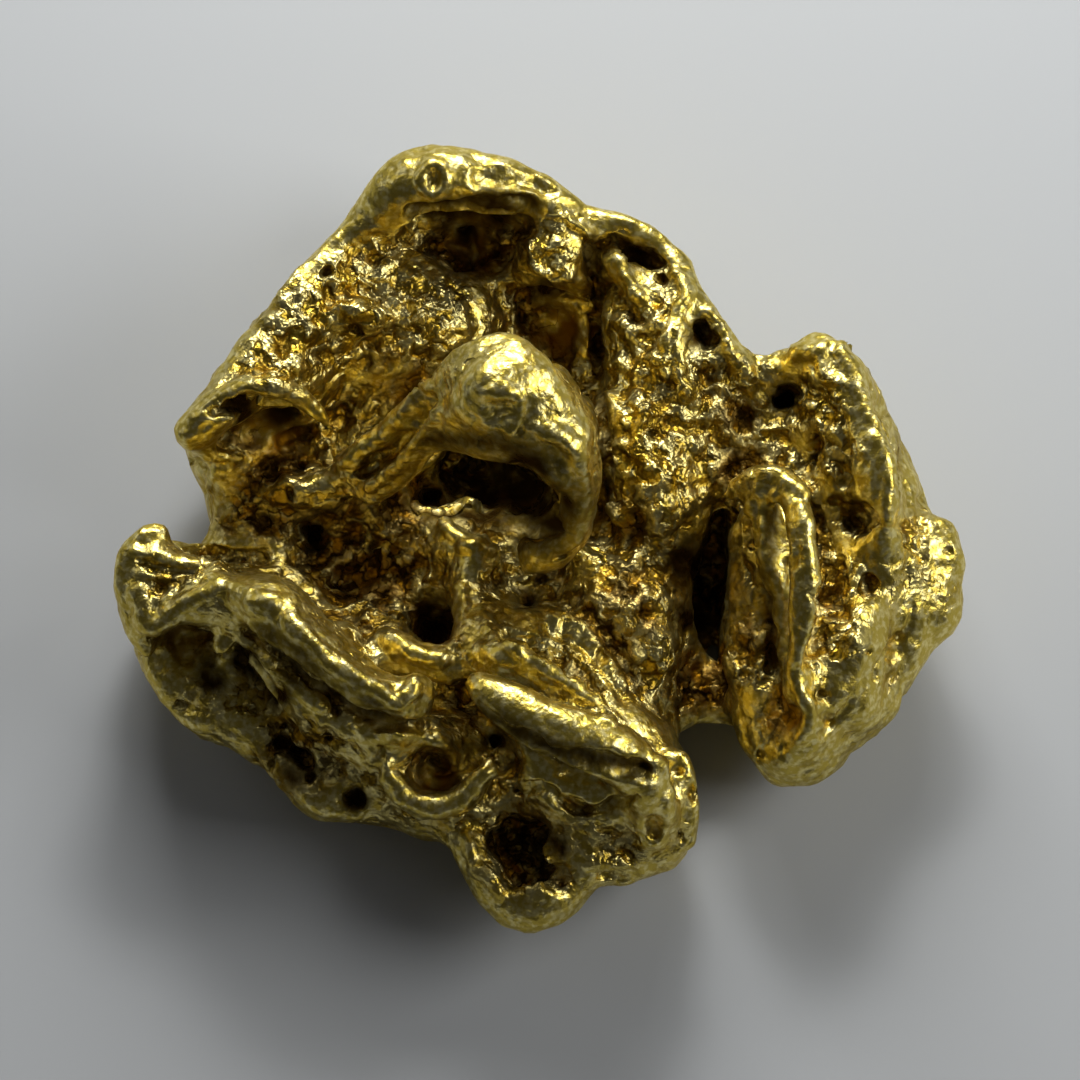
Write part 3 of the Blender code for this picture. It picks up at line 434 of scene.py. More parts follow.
GRAINY_SPOTS: tuple[Spot, ...] = (
    (-2.40, 2.20, 0.60), (-1.80, 2.40, 0.60), (-1.20, 2.20, 0.60), (-2.60, 1.80, 0.50),
    (0.90, 2.00, 0.55), (1.10, 1.40, 0.60), (1.00, 0.80, 0.60), (0.95, 0.20, 0.55),
    (0.90, -0.50, 0.60), (1.10, -1.20, 0.50), (-1.90, 0.00, 0.70), (-2.60, 0.40, 0.50),
    (-1.60, -0.50, 0.60), (2.80, 1.30, 0.45), (2.95, 0.90, 0.35), (2.00, 0.90, 0.55),
    (2.95, -0.50, 0.40), (3.05, -0.95, 0.35), (2.10, -1.20, 0.40), (-0.20, -3.20, 0.55),
    (-2.45, -2.15, 0.50), (0.05, 2.80, 0.35), (1.75, 1.60, 0.40),
)
STAINED_SPOTS: tuple[Spot, ...] = (
    (-1.75, -0.20, 0.90), (-2.80, 0.35, 0.60), (-2.65, 1.00, 0.50), (-1.20, 0.40, 0.50),
    (-0.30, 0.45, 0.50), (-0.70, 3.00, 0.50), (0.15, 2.15, 0.50), (-1.05, -0.80, 0.50),
    (1.65, -0.50, 0.55), (1.70, -1.40, 0.50), (2.15, -1.00, 0.40), (2.00, 1.25, 0.35),
    (-0.15, -3.10, 0.60), (-2.45, -2.20, 0.55), (-1.05, -2.25, 0.30), (0.90, -0.70, 0.60),
    (2.45, 1.40, 0.20), (0.90, 0.20, 0.30), (-1.40, 1.60, 0.40),
    (2.40, -1.75, 0.40), (2.00, 0.70, 0.35),
)
# Discs of painted shade: under the top lip, in the hood's overhung hollow, in the bowl below the
# knob and in other shaded hollows
PAINTED_SHADE_SPOTS: tuple[Spot, ...] = (
    (-0.95, 3.28, 0.26), (-0.40, 3.34, 0.30), (-0.75, 3.08, 0.20), (0.05, 2.50, 0.18),
    (-0.15, 0.62, 0.55), (0.15, 0.30, 0.45), (-0.60, 0.34, 0.45), (-1.00, 0.36, 0.36),
    (-3.30, -1.38, 0.24), (-2.95, -1.20, 0.26), (-2.60, -1.55, 0.24),
    (-2.28, 0.12, 0.24), (-1.06, -0.78, 0.36), (-2.60, 1.28, 0.30), (-3.00, 1.30, 0.24),
    (-0.40, -2.02, 0.16), (-2.45, -2.30, 0.26), (-1.83, -2.60, 0.22), (-0.13, -0.60, 0.20),
    (1.55, 2.05, 0.20), (0.95, 2.85, 0.28), (1.45, -0.20, 0.30), (1.55, -0.80, 0.30),
    (2.44, 1.42, 0.22), (0.12, -3.10, 0.30),
)
# Bands of painted shade, each with its strength from 0 to 1: below the crests of the wave and the
# great roll, under the top lip, on the hood's overhung front and below it, and down two inner walls
PAINTED_SHADE_BANDS: tuple[Stroke, ...] = (
    painted_shade(
        0.75,
        (-2.80, -0.86, 0.05), (-2.50, -1.08, 0.09), (-2.25, -1.32, 0.09), (-1.62, -1.70, 0.07),
    ),
    painted_shade(
        0.90,
        (-0.60, -1.66, 0.05), (-0.20, -1.92, 0.09), (0.30, -2.12, 0.09), (1.00, -2.28, 0.06),
    ),
    painted_shade(0.90, (-1.25, 3.30, 0.06), (-0.90, 3.28, 0.09), (-0.40, 3.36, 0.09), (0.00, 3.36, 0.06)),
    painted_shade(0.80, (2.32, 0.30, 0.05), (2.30, -0.30, 0.07), (2.34, -1.00, 0.07), (2.42, -1.40, 0.05)),
    painted_shade(0.80, (0.55, 3.10, 0.05), (0.62, 2.20, 0.06), (0.66, 1.20, 0.07), (0.72, 0.30, 0.06)),
    painted_shade(
        0.85,
        (-1.10, 1.00, 0.06), (-0.60, 0.98, 0.10), (-0.20, 0.90, 0.11), (0.10, 0.60, 0.11),
        (0.22, 0.25, 0.11), (0.10, 0.00, 0.10), (-0.20, -0.05, 0.08),
    ),
    painted_shade(0.90, (-1.25, 0.38, 0.06), (-0.85, 0.34, 0.08), (-0.40, 0.28, 0.09), (0.05, 0.22, 0.09)),
)


# The finishes

# The colour sockets of a mix node, whose names it uses more than once
MIX_FIRST = 6
MIX_SECOND = 7
MIX_RESULT = 2

NOISE_MIDDLE = 0.5


def shader_of(material: bpy.types.Material) -> bpy.types.Node:
    """The material's Principled shader, with nodes switched on."""
    material.use_nodes = True
    return material.node_tree.nodes["Principled BSDF"]


@dataclass(frozen=True)
class Skin:
    """The patterns that the finish is made of, each a socket."""

    place: bpy.types.NodeSocket
    wear: bpy.types.NodeSocket
    grain: bpy.types.NodeSocket
    stain: bpy.types.NodeSocket
    # Where shade is painted
    painted_shade: bpy.types.NodeSocket
    blobs: bpy.types.NodeSocket
    crumbs: bpy.types.NodeSocket
    worms: bpy.types.NodeSocket


@dataclass
class Nodes:
    """Short ways to add shader nodes to one tree."""

    tree: bpy.types.NodeTree

    def add(self, kind: str, **settings: object) -> bpy.types.Node:
        """Adds a node.

        Args:
            kind: the node's type.
            settings: values for its own settings.

        Returns:
            The node.
        """
        node = self.tree.nodes.new(kind)
        for name, value in settings.items():
            setattr(node, name, value)
        return node

    def feed(self, socket: bpy.types.NodeSocket, value: object) -> None:
        """Sets a socket.

        Args:
            socket: the socket to set.
            value: another node's output, a number or a colour.
        """
        if isinstance(value, bpy.types.NodeSocket):
            self.tree.links.new(value, socket)
        else:
            socket.default_value = value

    def painted(self, name: str) -> bpy.types.NodeSocket:
        """The values of one of the mesh's own maps."""
        return self.add("ShaderNodeAttribute", attribute_name=name).outputs["Fac"]

    def math(self, operation: str, first: object, second: object) -> bpy.types.NodeSocket:
        """Works out a sum.

        Args:
            operation: the kind of sum.
            first: its first value.
            second: its second value.

        Returns:
            The result.
        """
        node = self.add("ShaderNodeMath", operation=operation)
        self.feed(node.inputs[0], first)
        self.feed(node.inputs[1], second)
        return node.outputs[0]

    def noise(self, place: bpy.types.NodeSocket, size: float, detail: float) -> bpy.types.NodeSocket:
        """Makes cloudy values about the noise's middle.

        Args:
            place: where they are read.
            size: how wide a cloud is, in millimetres.
            detail: how many finer layers it has.

        Returns:
            The values.
        """
        node = self.add("ShaderNodeTexNoise")
        self.feed(node.inputs["Vector"], place)
        node.inputs["Scale"].default_value = 1.0 / (size * MILLIMETRE)
        node.inputs["Detail"].default_value = detail
        return node.outputs["Fac"]

    def band(self, value: bpy.types.NodeSocket, low: float, high: float) -> bpy.types.NodeSocket:
        """Makes a soft step.

        Args:
            value: what is stepped.
            low: where the step is 0.
            high: where it is 1.

        Returns:
            The step, smooth between the two.
        """
        node = self.add("ShaderNodeMapRange", interpolation_type="SMOOTHSTEP")
        self.feed(node.inputs["Value"], value)
        node.inputs["From Min"].default_value = low
        node.inputs["From Max"].default_value = high
        return node.outputs["Result"]

    def between(self, value: bpy.types.NodeSocket, low: float, high: float) -> bpy.types.NodeSocket:
        """Makes a number that follows a value.

        Args:
            value: what is followed, from 0 to 1.
            low: the number at 0.
            high: the number at 1.

        Returns:
            The number.
        """
        node = self.add("ShaderNodeMapRange")
        self.feed(node.inputs["Value"], value)
        node.inputs["To Min"].default_value = low
        node.inputs["To Max"].default_value = high
        return node.outputs["Result"]

    def mix(self, share: object, first: object, second: object) -> bpy.types.NodeSocket:
        """Mixes two colours.

        Args:
            share: how much of the second there is, from 0 to 1.
            first: the first colour.
            second: the second colour.

        Returns:
            The mixed colour.
        """
        node = self.add("ShaderNodeMix", data_type="RGBA")
        self.feed(node.inputs["Factor"], share)
        self.feed(node.inputs[MIX_FIRST], first)
        self.feed(node.inputs[MIX_SECOND], second)
        return node.outputs[MIX_RESULT]

    def warped(self, place: bpy.types.NodeSocket, size: float, shift: float) -> bpy.types.NodeSocket:
        """Moves a place about.

        Args:
            place: the place.
            size: how wide the clouds are in which it moves, in millimetres.
            shift: how far it moves at most, in millimetres.

        Returns:
            The moved place.
        """
        cloud = self.add("ShaderNodeTexNoise")
        self.feed(cloud.inputs["Vector"], place)
        cloud.inputs["Scale"].default_value = 1.0 / (size * MILLIMETRE)
        centred = self.add("ShaderNodeVectorMath", operation="SUBTRACT")
        self.feed(centred.inputs[0], cloud.outputs["Color"])
        self.feed(centred.inputs[1], (NOISE_MIDDLE,) * 3)
        moved = self.add("ShaderNodeVectorMath", operation="MULTIPLY_ADD")
        self.feed(moved.inputs[0], centred.outputs["Vector"])
        self.feed(moved.inputs[1], (2.0 * shift * MILLIMETRE,) * 3)
        self.feed(moved.inputs[2], place)
        return moved.outputs["Vector"]

    def cells(self, place: bpy.types.NodeSocket, size: float) -> bpy.types.NodeSocket:
        """Packs the place with grains.

        Args:
            place: where they are read.
            size: how wide a grain is, in millimetres.

        Returns:
            How far off the middle of the nearest grain each place is, in grains.
        """
        cells = self.add("ShaderNodeTexVoronoi")
        self.feed(cells.inputs["Vector"], place)
        cells.inputs["Scale"].default_value = 1.0 / (size * MILLIMETRE)
        return cells.outputs["Distance"]

    def dome(self, away: bpy.types.NodeSocket, height: float) -> bpy.types.NodeSocket:
        """A dome of that height about the middle of each grain."""
        square = self.math("MULTIPLY", away, away)
        return self.math("MULTIPLY", square, -height)


@dataclass(frozen=True)
class PaperFinish:
    """Plain pale paper."""

    colour: Colour = (0.475, 0.49, 0.495, 1.0)
    roughness: float = 0.9

    def material(self) -> bpy.types.Material:
        """Makes the paper.

        Returns:
            The material.
        """
        material = bpy.data.materials.new("paper")
        shader = shader_of(material)
        shader.inputs["Base Color"].default_value = self.colour
        shader.inputs["Roughness"].default_value = self.roughness
        return material


@dataclass(frozen=True)
class GoldFinish:
    """Native gold: smooth where it is worn, grainy where it isn't, brown in its hollows, and
    darkened with painted shade in its shaded places.

    Colours are linear, sizes and heights are in millimetres, and a band is where a pattern
    goes from 0 to 1.
    """

    clean: Colour = (0.58, 0.44, 0.075, 1.0)
    pale: Colour = (0.84, 0.72, 0.29, 1.0)
    edge: Colour = (0.95, 0.90, 0.72, 1.0)
    ochre: Colour = (0.40, 0.255, 0.018, 1.0)
    stain: Colour = (0.33, 0.155, 0.006, 1.0)
    # The dark colour of the painted shade and of the cracks
    painted_shade: Colour = (0.060, 0.030, 0.004, 1.0)
    worn_roughness: float = 0.34
    grain_roughness: float = 0.31
    stain_roughness: float = 0.22
    # Painted shade is rougher, and the darkened places and the stain take some of the metal away
    shade_roughness: float = 0.30
    shade_cover: float = 0.15
    stain_cover: float = 0.12
    earth_gloss: float = 0.04
    warp_size: float = 0.12
    warp_shift: float = 0.07
    fleck_size: float = 0.07
    fleck_detail: float = 2.0
    fleck_band: Band = (0.42, 0.68)
    blob_size: float = 0.22
    blob_dome: float = 0.24
    # The gaps between the grains are darkened with painted shade
    blob_gap: Band = (0.52, 0.80)
    crumb_size: float = 0.10
    crumb_dome: float = 0.17
    crumb_gap: Band = (0.46, 0.70)
    clean_gap: float = 0.42
    worm_size: float = 0.17
    worm_detail: float = 0.7
    worm_height: float = 0.115
    curl_band: Band = (0.44, 0.55)
    curl_height: float = 0.018
    curl_stain: float = 0.85
    curl_cover: float = 0.85
    dimple_size: float = 0.16
    dimple_detail: float = 3.0
    dimple_depth: float = 0.030
    cloud_size: float = 0.40
    cloud_detail: float = 3.0
    stain_cloud: Band = (0.32, 0.60)
    # How the painted shade of the map breaks into clouds
    shade_cloud: Band = (0.20, 0.45)
    crack_size: float = 0.42
    crack_detail: float = 4.0
    crack_width: float = 0.016
    crack_field: float = 1.7
    crack_field_detail: float = 1.0
    crack_band: Band = (0.52, 0.60)
    crack_on_clean: float = 0.12
    crack_dirt: float = 0.7
    wear_map: str = "wear"
    stain_map: str = "stain"
    shade_map: str = "painted_shade"

    def material(self) -> bpy.types.Material:
        """Makes the gold.

        Returns:
            The material.
        """
        material = bpy.data.materials.new("gold_look")
        shader = shader_of(material)
        nodes = Nodes(material.node_tree)
        skin = self.skin(nodes)
        dirt_and_shade = self.dirt_and_shade(nodes, skin)
        stained = self.stained(nodes, skin)
        colour = self.colour(nodes, skin, dirt_and_shade, stained)
        nodes.feed(shader.inputs["Base Color"], colour)
        # Stain, dark cracks and painted shade lose the pale edge tint and some of the metal
        stain_cracks_and_shade = nodes.math("MAXIMUM", dirt_and_shade, stained)
        nodes.feed(shader.inputs["Specular Tint"], nodes.mix(stain_cracks_and_shade, self.edge, colour))
        shader.inputs["Specular IOR Level"].default_value = self.earth_gloss
        covered = nodes.math("MULTIPLY", dirt_and_shade, self.shade_cover)
        covered = nodes.math("MAXIMUM", covered, nodes.math("MULTIPLY", stained, self.stain_cover))
        nodes.feed(shader.inputs["Metallic"], nodes.math("SUBTRACT", 1.0, covered))
        nodes.feed(shader.inputs["Roughness"], self.roughness(nodes, skin))
        bump = nodes.add("ShaderNodeBump")
        bump.inputs["Distance"].default_value = 1.0
        nodes.feed(bump.inputs["Height"], self.relief(nodes, skin))
        nodes.feed(shader.inputs["Normal"], bump.outputs["Normal"])
        return material

    def skin(self, nodes: Nodes) -> Skin:
        """Lays out the patterns that the finish is made of.

        Args:
            nodes: what adds the nodes.

        Returns:
            The patterns.
        """
        place = nodes.add("ShaderNodeTexCoord").outputs["Object"]
        warped = nodes.warped(place, self.warp_size, self.warp_shift)
        wear = nodes.painted(self.wear_map)
        return Skin(
            place=place,
            wear=wear,
            grain=nodes.math("SUBTRACT", 1.0, wear),
            stain=nodes.painted(self.stain_map),
            painted_shade=nodes.painted(self.shade_map),
            blobs=nodes.cells(warped, self.blob_size),
            crumbs=nodes.cells(warped, self.crumb_size),
            worms=nodes.noise(warped, self.worm_size, self.worm_detail),
        )

    def roughness(self, nodes: Nodes, skin: Skin) -> bpy.types.NodeSocket:
        """Makes the skin rougher where it is worn, stained or painted with shade.

        Args:
            nodes: what adds the nodes.
            skin: the patterns on the skin.

        Returns:
            The socket that carries the roughness.
        """
        metal = nodes.between(skin.wear, self.grain_roughness, self.worn_roughness)
        brown = nodes.math("MULTIPLY", skin.stain, self.stain_roughness)
        black = nodes.math("MULTIPLY", skin.painted_shade, self.shade_roughness)
        return nodes.math("ADD", nodes.math("ADD", metal, brown), black)

    def colour(
        self,
        nodes: Nodes,
        skin: Skin,
        dirt_and_shade: bpy.types.NodeSocket,
        stained: bpy.types.NodeSocket,
    ) -> bpy.types.NodeSocket:
        """Colours clean gold, pale curls on ochre in the grain, brown stain, dark cracks and painted
        shade.

        Args:
            nodes: what adds the nodes.
            skin: the patterns on the skin.
            dirt_and_shade: where the cracks are dark and where shade is painted.
            stained: where there is stain.

        Returns:
            The socket that carries the colour.
        """
        flecks = nodes.noise(skin.place, self.fleck_size, self.fleck_detail)
        gold = nodes.mix(nodes.band(flecks, *self.fleck_band), self.clean, self.pale)
        gold = nodes.mix(stained, gold, self.stain)
        ground = nodes.mix(skin.stain, self.ochre, self.stain)
        dulled = nodes.math("MULTIPLY", skin.stain, self.curl_stain)
        bright = nodes.mix(dulled, self.pale, gold)
        curled = nodes.mix(self.curls(nodes, skin), ground, bright)
        gold = nodes.mix(nodes.math("MULTIPLY", skin.grain, self.curl_cover), gold, curled)
        # Darkens the gold towards the dark colour in the cracks and wherever shade is painted
        return nodes.mix(dirt_and_shade, gold, self.painted_shade)

    def stained(self, nodes: Nodes, skin: Skin) -> bpy.types.NodeSocket:
        """Clouds of stain, 1 where it is thick."""
        return nodes.math("MULTIPLY", skin.stain, self.clouds(nodes, skin, self.stain_cloud))

    def clouds(self, nodes: Nodes, skin: Skin, band: Band) -> bpy.types.NodeSocket:
        """Soft clouds, from 0 to 1 as the noise goes through the band."""
        return nodes.band(nodes.noise(skin.place, self.cloud_size, self.cloud_detail), *band)

    def dirt_and_shade(self, nodes: Nodes, skin: Skin) -> bpy.types.NodeSocket:
        """Darkens the gaps between the grains with painted shade, darkens the cracks, and lays
        painted shade in the shaded hollows.

        Args:
            nodes: what adds the nodes.
            skin: the patterns on the skin.

        Returns:
            The socket that carries the darkening, 1 where it is darkest.
        """
        # Painted shade in the gaps between the grains, darker where the skin is stained
        blobs = nodes.band(skin.blobs, *self.blob_gap)
        gap = nodes.math("MAXIMUM", blobs, nodes.band(skin.crumbs, *self.crumb_gap))
        gap = nodes.math("MULTIPLY", gap, skin.grain)
        gap = nodes.math("MULTIPLY", gap, nodes.between(skin.stain, self.clean_gap, 1.0))
        cracks = nodes.math("MULTIPLY", self.cracks(nodes, skin), self.crack_dirt)
        # Painted shade from its map, broken into clouds
        shaded = nodes.math("MULTIPLY", skin.painted_shade, self.clouds(nodes, skin, self.shade_cloud))
        return nodes.math("MAXIMUM", nodes.math("MAXIMUM", gap, cracks), shaded)

    def curls(self, nodes: Nodes, skin: Skin) -> bpy.types.NodeSocket:
        """Small bright curls in the grain, 1 on a curl."""
        return nodes.band(skin.worms, *self.curl_band)

    def cracks(self, nodes: Nodes, skin: Skin) -> bpy.types.NodeSocket:
        """Draws thin wandering cracks that come and go where the skin is stained.

        Args:
            nodes: what adds the nodes.
            skin: the patterns on the skin.

        Returns:
            The socket that carries them, 1 in a crack.
        """
        cloud = nodes.noise(skin.place, self.crack_size, self.crack_detail)
        off_middle = nodes.math("ABSOLUTE", nodes.math("SUBTRACT", cloud, NOISE_MIDDLE), 0.0)
        width = self.crack_field * self.crack_size
        fields = nodes.noise(skin.place, width, self.crack_field_detail)
        here = nodes.band(fields, *self.crack_band)
        here = nodes.math("MULTIPLY", here, nodes.between(skin.stain, self.crack_on_clean, 1.0))
        return nodes.math("MULTIPLY", nodes.band(off_middle, self.crack_width, 0.0), here)

    def relief(self, nodes: Nodes, skin: Skin) -> bpy.types.NodeSocket:
        """Raises domed grains with curls on them, and shallow dimples everywhere.

        Args:
            nodes: what adds the nodes.
            skin: the patterns on the skin.

        Returns:
            The socket that carries the heights, in metres.
        """
        large = nodes.dome(skin.blobs, self.blob_dome * self.blob_size * MILLIMETRE)
        small = nodes.dome(skin.crumbs, self.crumb_dome * self.crumb_size * MILLIMETRE)
        worms = nodes.math("MULTIPLY", skin.worms, self.worm_height * MILLIMETRE)
        curls = nodes.math("MULTIPLY", self.curls(nodes, skin), self.curl_height * MILLIMETRE)
        heights = nodes.math("ADD", nodes.math("ADD", large, small), nodes.math("ADD", worms, curls))
        heights = nodes.math("MULTIPLY", heights, skin.grain)
        dimples = nodes.noise(skin.place, self.dimple_size, self.dimple_detail)
        dimples = nodes.math("MULTIPLY", dimples, self.dimple_depth * MILLIMETRE)
        return nodes.math("ADD", heights, dimples)


# The nugget


def mesh_points(mesh: bpy.types.Mesh) -> np.ndarray:
    """Reads a mesh's vertices.

    Args:
        mesh: the mesh.

    Returns:
        Their places in millimetres, one per row.
    """
    flat = np.empty(3 * len(mesh.vertices))
    mesh.vertices.foreach_get("co", flat)
    return flat.reshape(-1, 3) / MILLIMETRE


def mesh_normals(mesh: bpy.types.Mesh) -> np.ndarray:
    """Reads a mesh's vertex normals.

    Args:
        mesh: the mesh.

    Returns:
        The skin's direction at each, one per row.
    """
    flat = np.empty(3 * len(mesh.vertices))
    mesh.vertices.foreach_get("normal", flat)
    return flat.reshape(-1, 3)


def mesh_edges(mesh: bpy.types.Mesh) -> np.ndarray:
    """Reads a mesh's edges.

    Args:
        mesh: the mesh.

    Returns:
        The two vertices of each edge, one edge per row.
    """
    flat = np.empty(2 * len(mesh.edges), dtype=np.int64)
    mesh.edges.foreach_get("vertices", flat)
    return flat.reshape(-1, 2)


@dataclass(frozen=True)
class Sight:
    """How far right and up of the picture's middle each point is seen, and whether it is."""

    right: np.ndarray
    up: np.ndarray
    visible: np.ndarray


@dataclass
class Nugget:
    """The nugget, made from the CAD solid. Sizes are in millimetres, shares from 0 to 1."""

    eye: Eye
    weld: float = 0.0001
    voxel: float = 0.036
    smoothing: int = 9
    smooth_factor: float = 0.5
    relief_reach: int = 38
    stroke_reach: float = 2.0
    bowl_power: float = 1.5
    ray_lift: float = 0.02
    ragged_size: float = 0.22
    raggedness: float = 0.050
    up_shift: float = 7.0
    lump_size: float = 0.30
    lump_rise: float = 0.045
    worn_lumps: float = 0.55
    more_lumps: float = 0.45
    crease_size: float = 0.16
    crease_rise: float = 0.035
    crease_shift: float = 3.0
    grain_size: float = 0.23
    grain_rise: float = 0.080
    grain_level: float = 0.35
    noise_roughness: float = 1.0
    noise_step: float = 2.0
    disc_edge: float = 1.6
    flat_wear: float = 0.45
    wear_span: float = 0.06
    grainy_share: float = 0.9
    smooth_guard: float = 0.7
    stain_span: float = 0.05
    hollow_stain: float = 0.55
    marked_stain: float = 0.9
    ridge_guard: float = 0.8
    pit_stain: float = 1.5
    # Painted shade lies in low places and fades out where the skin stands out
    shade_reach: float = 1.3
    shade_span: float = 0.07
    most_triangles: int = 194000
    hidden_group: str = "hidden"
    box_margin: float = 0.0005
    finish: GoldFinish = field(default_factory=GoldFinish)

    def build(self) -> bpy.types.Object:
        """Makes the nugget in its place.

        Returns:
            The finished piece.
        """
        piece = self.copied()
        self.modify(piece, "REMESH", mode="VOXEL", voxel_size=self.voxel * MILLIMETRE)
        self.modify(piece, "SMOOTH", factor=self.smooth_factor, iterations=self.smoothing)
        self.work(piece)
        self.dress(piece)
        return piece

    def copied(self) -> bpy.types.Object:
        """Copies the CAD solid's own shape and joins its triangles.

        Returns:
            The new piece, with no material.
        """
        solid = bpy.data.objects[NODE]
        piece = bpy.data.objects.new("nugget_look", solid.data.copy())
        bpy.context.scene.collection.objects.link(piece)
        piece.data.materials.clear()
        self.choose(piece)
        bpy.ops.object.mode_set(mode="EDIT")
        bpy.ops.mesh.select_all(action="SELECT")
        bpy.ops.mesh.remove_doubles(threshold=self.weld * MILLIMETRE)
        bpy.ops.object.mode_set(mode="OBJECT")
        return piece

    def choose(self, piece: bpy.types.Object) -> None:
        """Makes a piece the only one selected, and active.

        Args:
            piece: the piece.
        """
        bpy.ops.object.select_all(action="DESELECT")
        piece.select_set(True)
        bpy.context.view_layer.objects.active = piece

    def modify(self, piece: bpy.types.Object, kind: str, **settings: object) -> None:
        """Adds a modifier and applies it.

        Args:
            piece: what it is added to.
            kind: the modifier's type.
            settings: values for its own settings.
        """
        modifier = piece.modifiers.new(kind.lower(), kind)
        for name, value in settings.items():
            setattr(modifier, name, value)
        self.choose(piece)
        bpy.ops.object.modifier_apply(modifier=modifier.name)

    def work(self, piece: bpy.types.Object) -> None:
        """Works the strokes, the pits and the grain into the skin, and paints its maps.

        Args:
            piece: the smoothed solid.
        """
        mesh = piece.data
        points, normals = mesh_points(mesh), mesh_normals(mesh)
        sight = self.sight(points, self.visible(mesh, points, normals))
        log.info("skin: %d points, %d seen", len(points), sight.visible.sum())
        relief = self.relief(points, normals, mesh_edges(mesh))
        wear = self.wear(relief, sight)
        sunk = self.sunk(sight)
        rise = self.struck(sight) + self.grown(points, wear)
        away = -np.array(self.eye.back())
        points = points + normals * rise[:, None] + away * sunk[:, None]
        mesh.vertices.foreach_set("co", (points * MILLIMETRE).ravel())
        maps = {
            self.finish.wear_map: wear,
            self.finish.stain_map: self.stain(relief, sight, sunk),
            # The map of painted shade
            self.finish.shade_map: self.painted_shade(relief, sight),
        }
        for name, values in maps.items():
            layer = mesh.attributes.new(name, "FLOAT", "POINT")
            layer.data.foreach_set("value", values.astype(np.float32))
        hidden = piece.vertex_groups.new(name=self.hidden_group)
        hidden.add(np.flatnonzero(~sight.visible).tolist(), 1.0, "REPLACE")

    def visible(self, mesh: bpy.types.Mesh, points: np.ndarray, normals: np.ndarray) -> np.ndarray:
        """Finds which points the eye sees.

        Args:
            mesh: what may stand in the way.
            points: places in millimetres.
            normals: the skin's direction at each.

        Returns:
            True for each point that faces the eye with nothing in between.
        """
        bm = bmesh.new()
        bm.from_mesh(mesh)
        tree = BVHTree.FromBMesh(bm)
        bm.free()
        sight = np.array(self.eye.place()) - points
        facing = (normals * sight).sum(axis=1) > 0.0
        seen = np.zeros(len(points), dtype=bool)
        for i in np.flatnonzero(facing):
            towards = Vector(sight[i]).normalized()
            start = Vector(points[i] * MILLIMETRE) + self.ray_lift * MILLIMETRE * towards
            seen[i] = tree.ray_cast(start, towards)[0] is None
        return seen

    def sight(self, points: np.ndarray, visible: np.ndarray) -> Sight:
        """Finds where points are seen, a little off, so that no mark on them has an even edge.

        Args:
            points: places in millimetres.
            visible: which of them are seen.

        Returns:
            Where each is taken to be seen.
        """
        right, up = self.eye.seen_at(points)
        right = right + self.noise_at(points, self.ragged_size, 2) * self.raggedness
        up = up + self.noise_at(points + self.up_shift, self.ragged_size, 2) * self.raggedness
        return Sight(right, up, visible)

    def struck(self, sight: Sight) -> np.ndarray:
        """Finds how far the folds and furrows move the skin.

        Args:
            sight: where the points are seen.

        Returns:
            The rise at each point.
        """
        rise = np.zeros(len(sight.right))
        index = np.flatnonzero(sight.visible)
        for stroke in STROKES:
            change = self.profile(sight.right[index], sight.up[index], stroke.spots())
            rise[index] += stroke.kind.value * stroke.height * change
        return rise

    def sunk(self, sight: Sight) -> np.ndarray:
        """Finds how far the pits push the skin away from the eye.

        Args:
            sight: where the points are seen.

        Returns:
            The depth at each point.
        """
        sunk = np.zeros(len(sight.right))
        index = np.flatnonzero(sight.visible)
        right, up = sight.right[index], sight.up[index]
        for pit in PITS:
            away = np.hypot((right - pit.right) / pit.wide, (up - pit.up) / pit.tall)
            sunk[index] = np.maximum(sunk[index], pit.depth * self.bowl(away))
        return sunk

    def grown(self, points: np.ndarray, wear: np.ndarray) -> np.ndarray:
        """Finds how far lumps, grains and creases move the skin.

        Args:
            points: places in millimetres.
            wear: how worn each is.

        Returns:
            The rise at each point.
        """
        rough = 1.0 - wear
        lumps = self.noise_at(points, self.lump_size, 2) * self.lump_rise
        creases = np.abs(self.noise_at(points + self.crease_shift, self.crease_size, 1))
        creases = creases * self.crease_rise
        grains = self.crystals_at(points, self.grain_size) * self.grain_rise
        return lumps * (self.worn_lumps + self.more_lumps * rough) + (grains + creases) * rough

    def profile(self, right: np.ndarray, up: np.ndarray, spots: Sequence[Spot]) -> np.ndarray:
        """Finds how much of a stroke each point gets.

        Args:
            right: how far right each point is seen.
            up: how far up it is seen.
            spots: the stroke's spots.

        Returns:
            The share of its height, from 0 to 1.
        """
        change = np.zeros(len(right))
        for x, y, radius in spots:
            reach = self.stroke_reach * radius
            near = np.flatnonzero((np.abs(right - x) < reach) & (np.abs(up - y) < reach))
            away = np.hypot(right[near] - x, up[near] - y) / reach
            change[near] = np.maximum(change[near], self.bowl(away))
        return change

    def bowl(self, away: np.ndarray) -> np.ndarray:
        """A smooth bump, 1 at the middle and 0 from 1 outwards."""
        return np.clip(1.0 - away**2, 0.0, 1.0) ** self.bowl_power

    def relief(self, points: np.ndarray, normals: np.ndarray, edges: np.ndarray) -> np.ndarray:
        """Finds ridges and hollows.

        Args:
            points: places in millimetres.
            normals: the skin's direction at each.
            edges: which points are joined.

        Returns:
            How far each point stands out of its surroundings, in millimetres.
        """
        smooth = points.copy()
        count = np.bincount(edges.ravel(), minlength=len(points))[:, None]
        for _ in range(self.relief_reach):
            total = np.zeros_like(smooth)
            for axis in range(3):
                total[:, axis] = np.bincount(edges[:, 0], smooth[edges[:, 1], axis], len(points))
                total[:, axis] += np.bincount(edges[:, 1], smooth[edges[:, 0], axis], len(points))
            smooth = total / np.maximum(count, 1)
        return ((points - smooth) * normals).sum(axis=1)

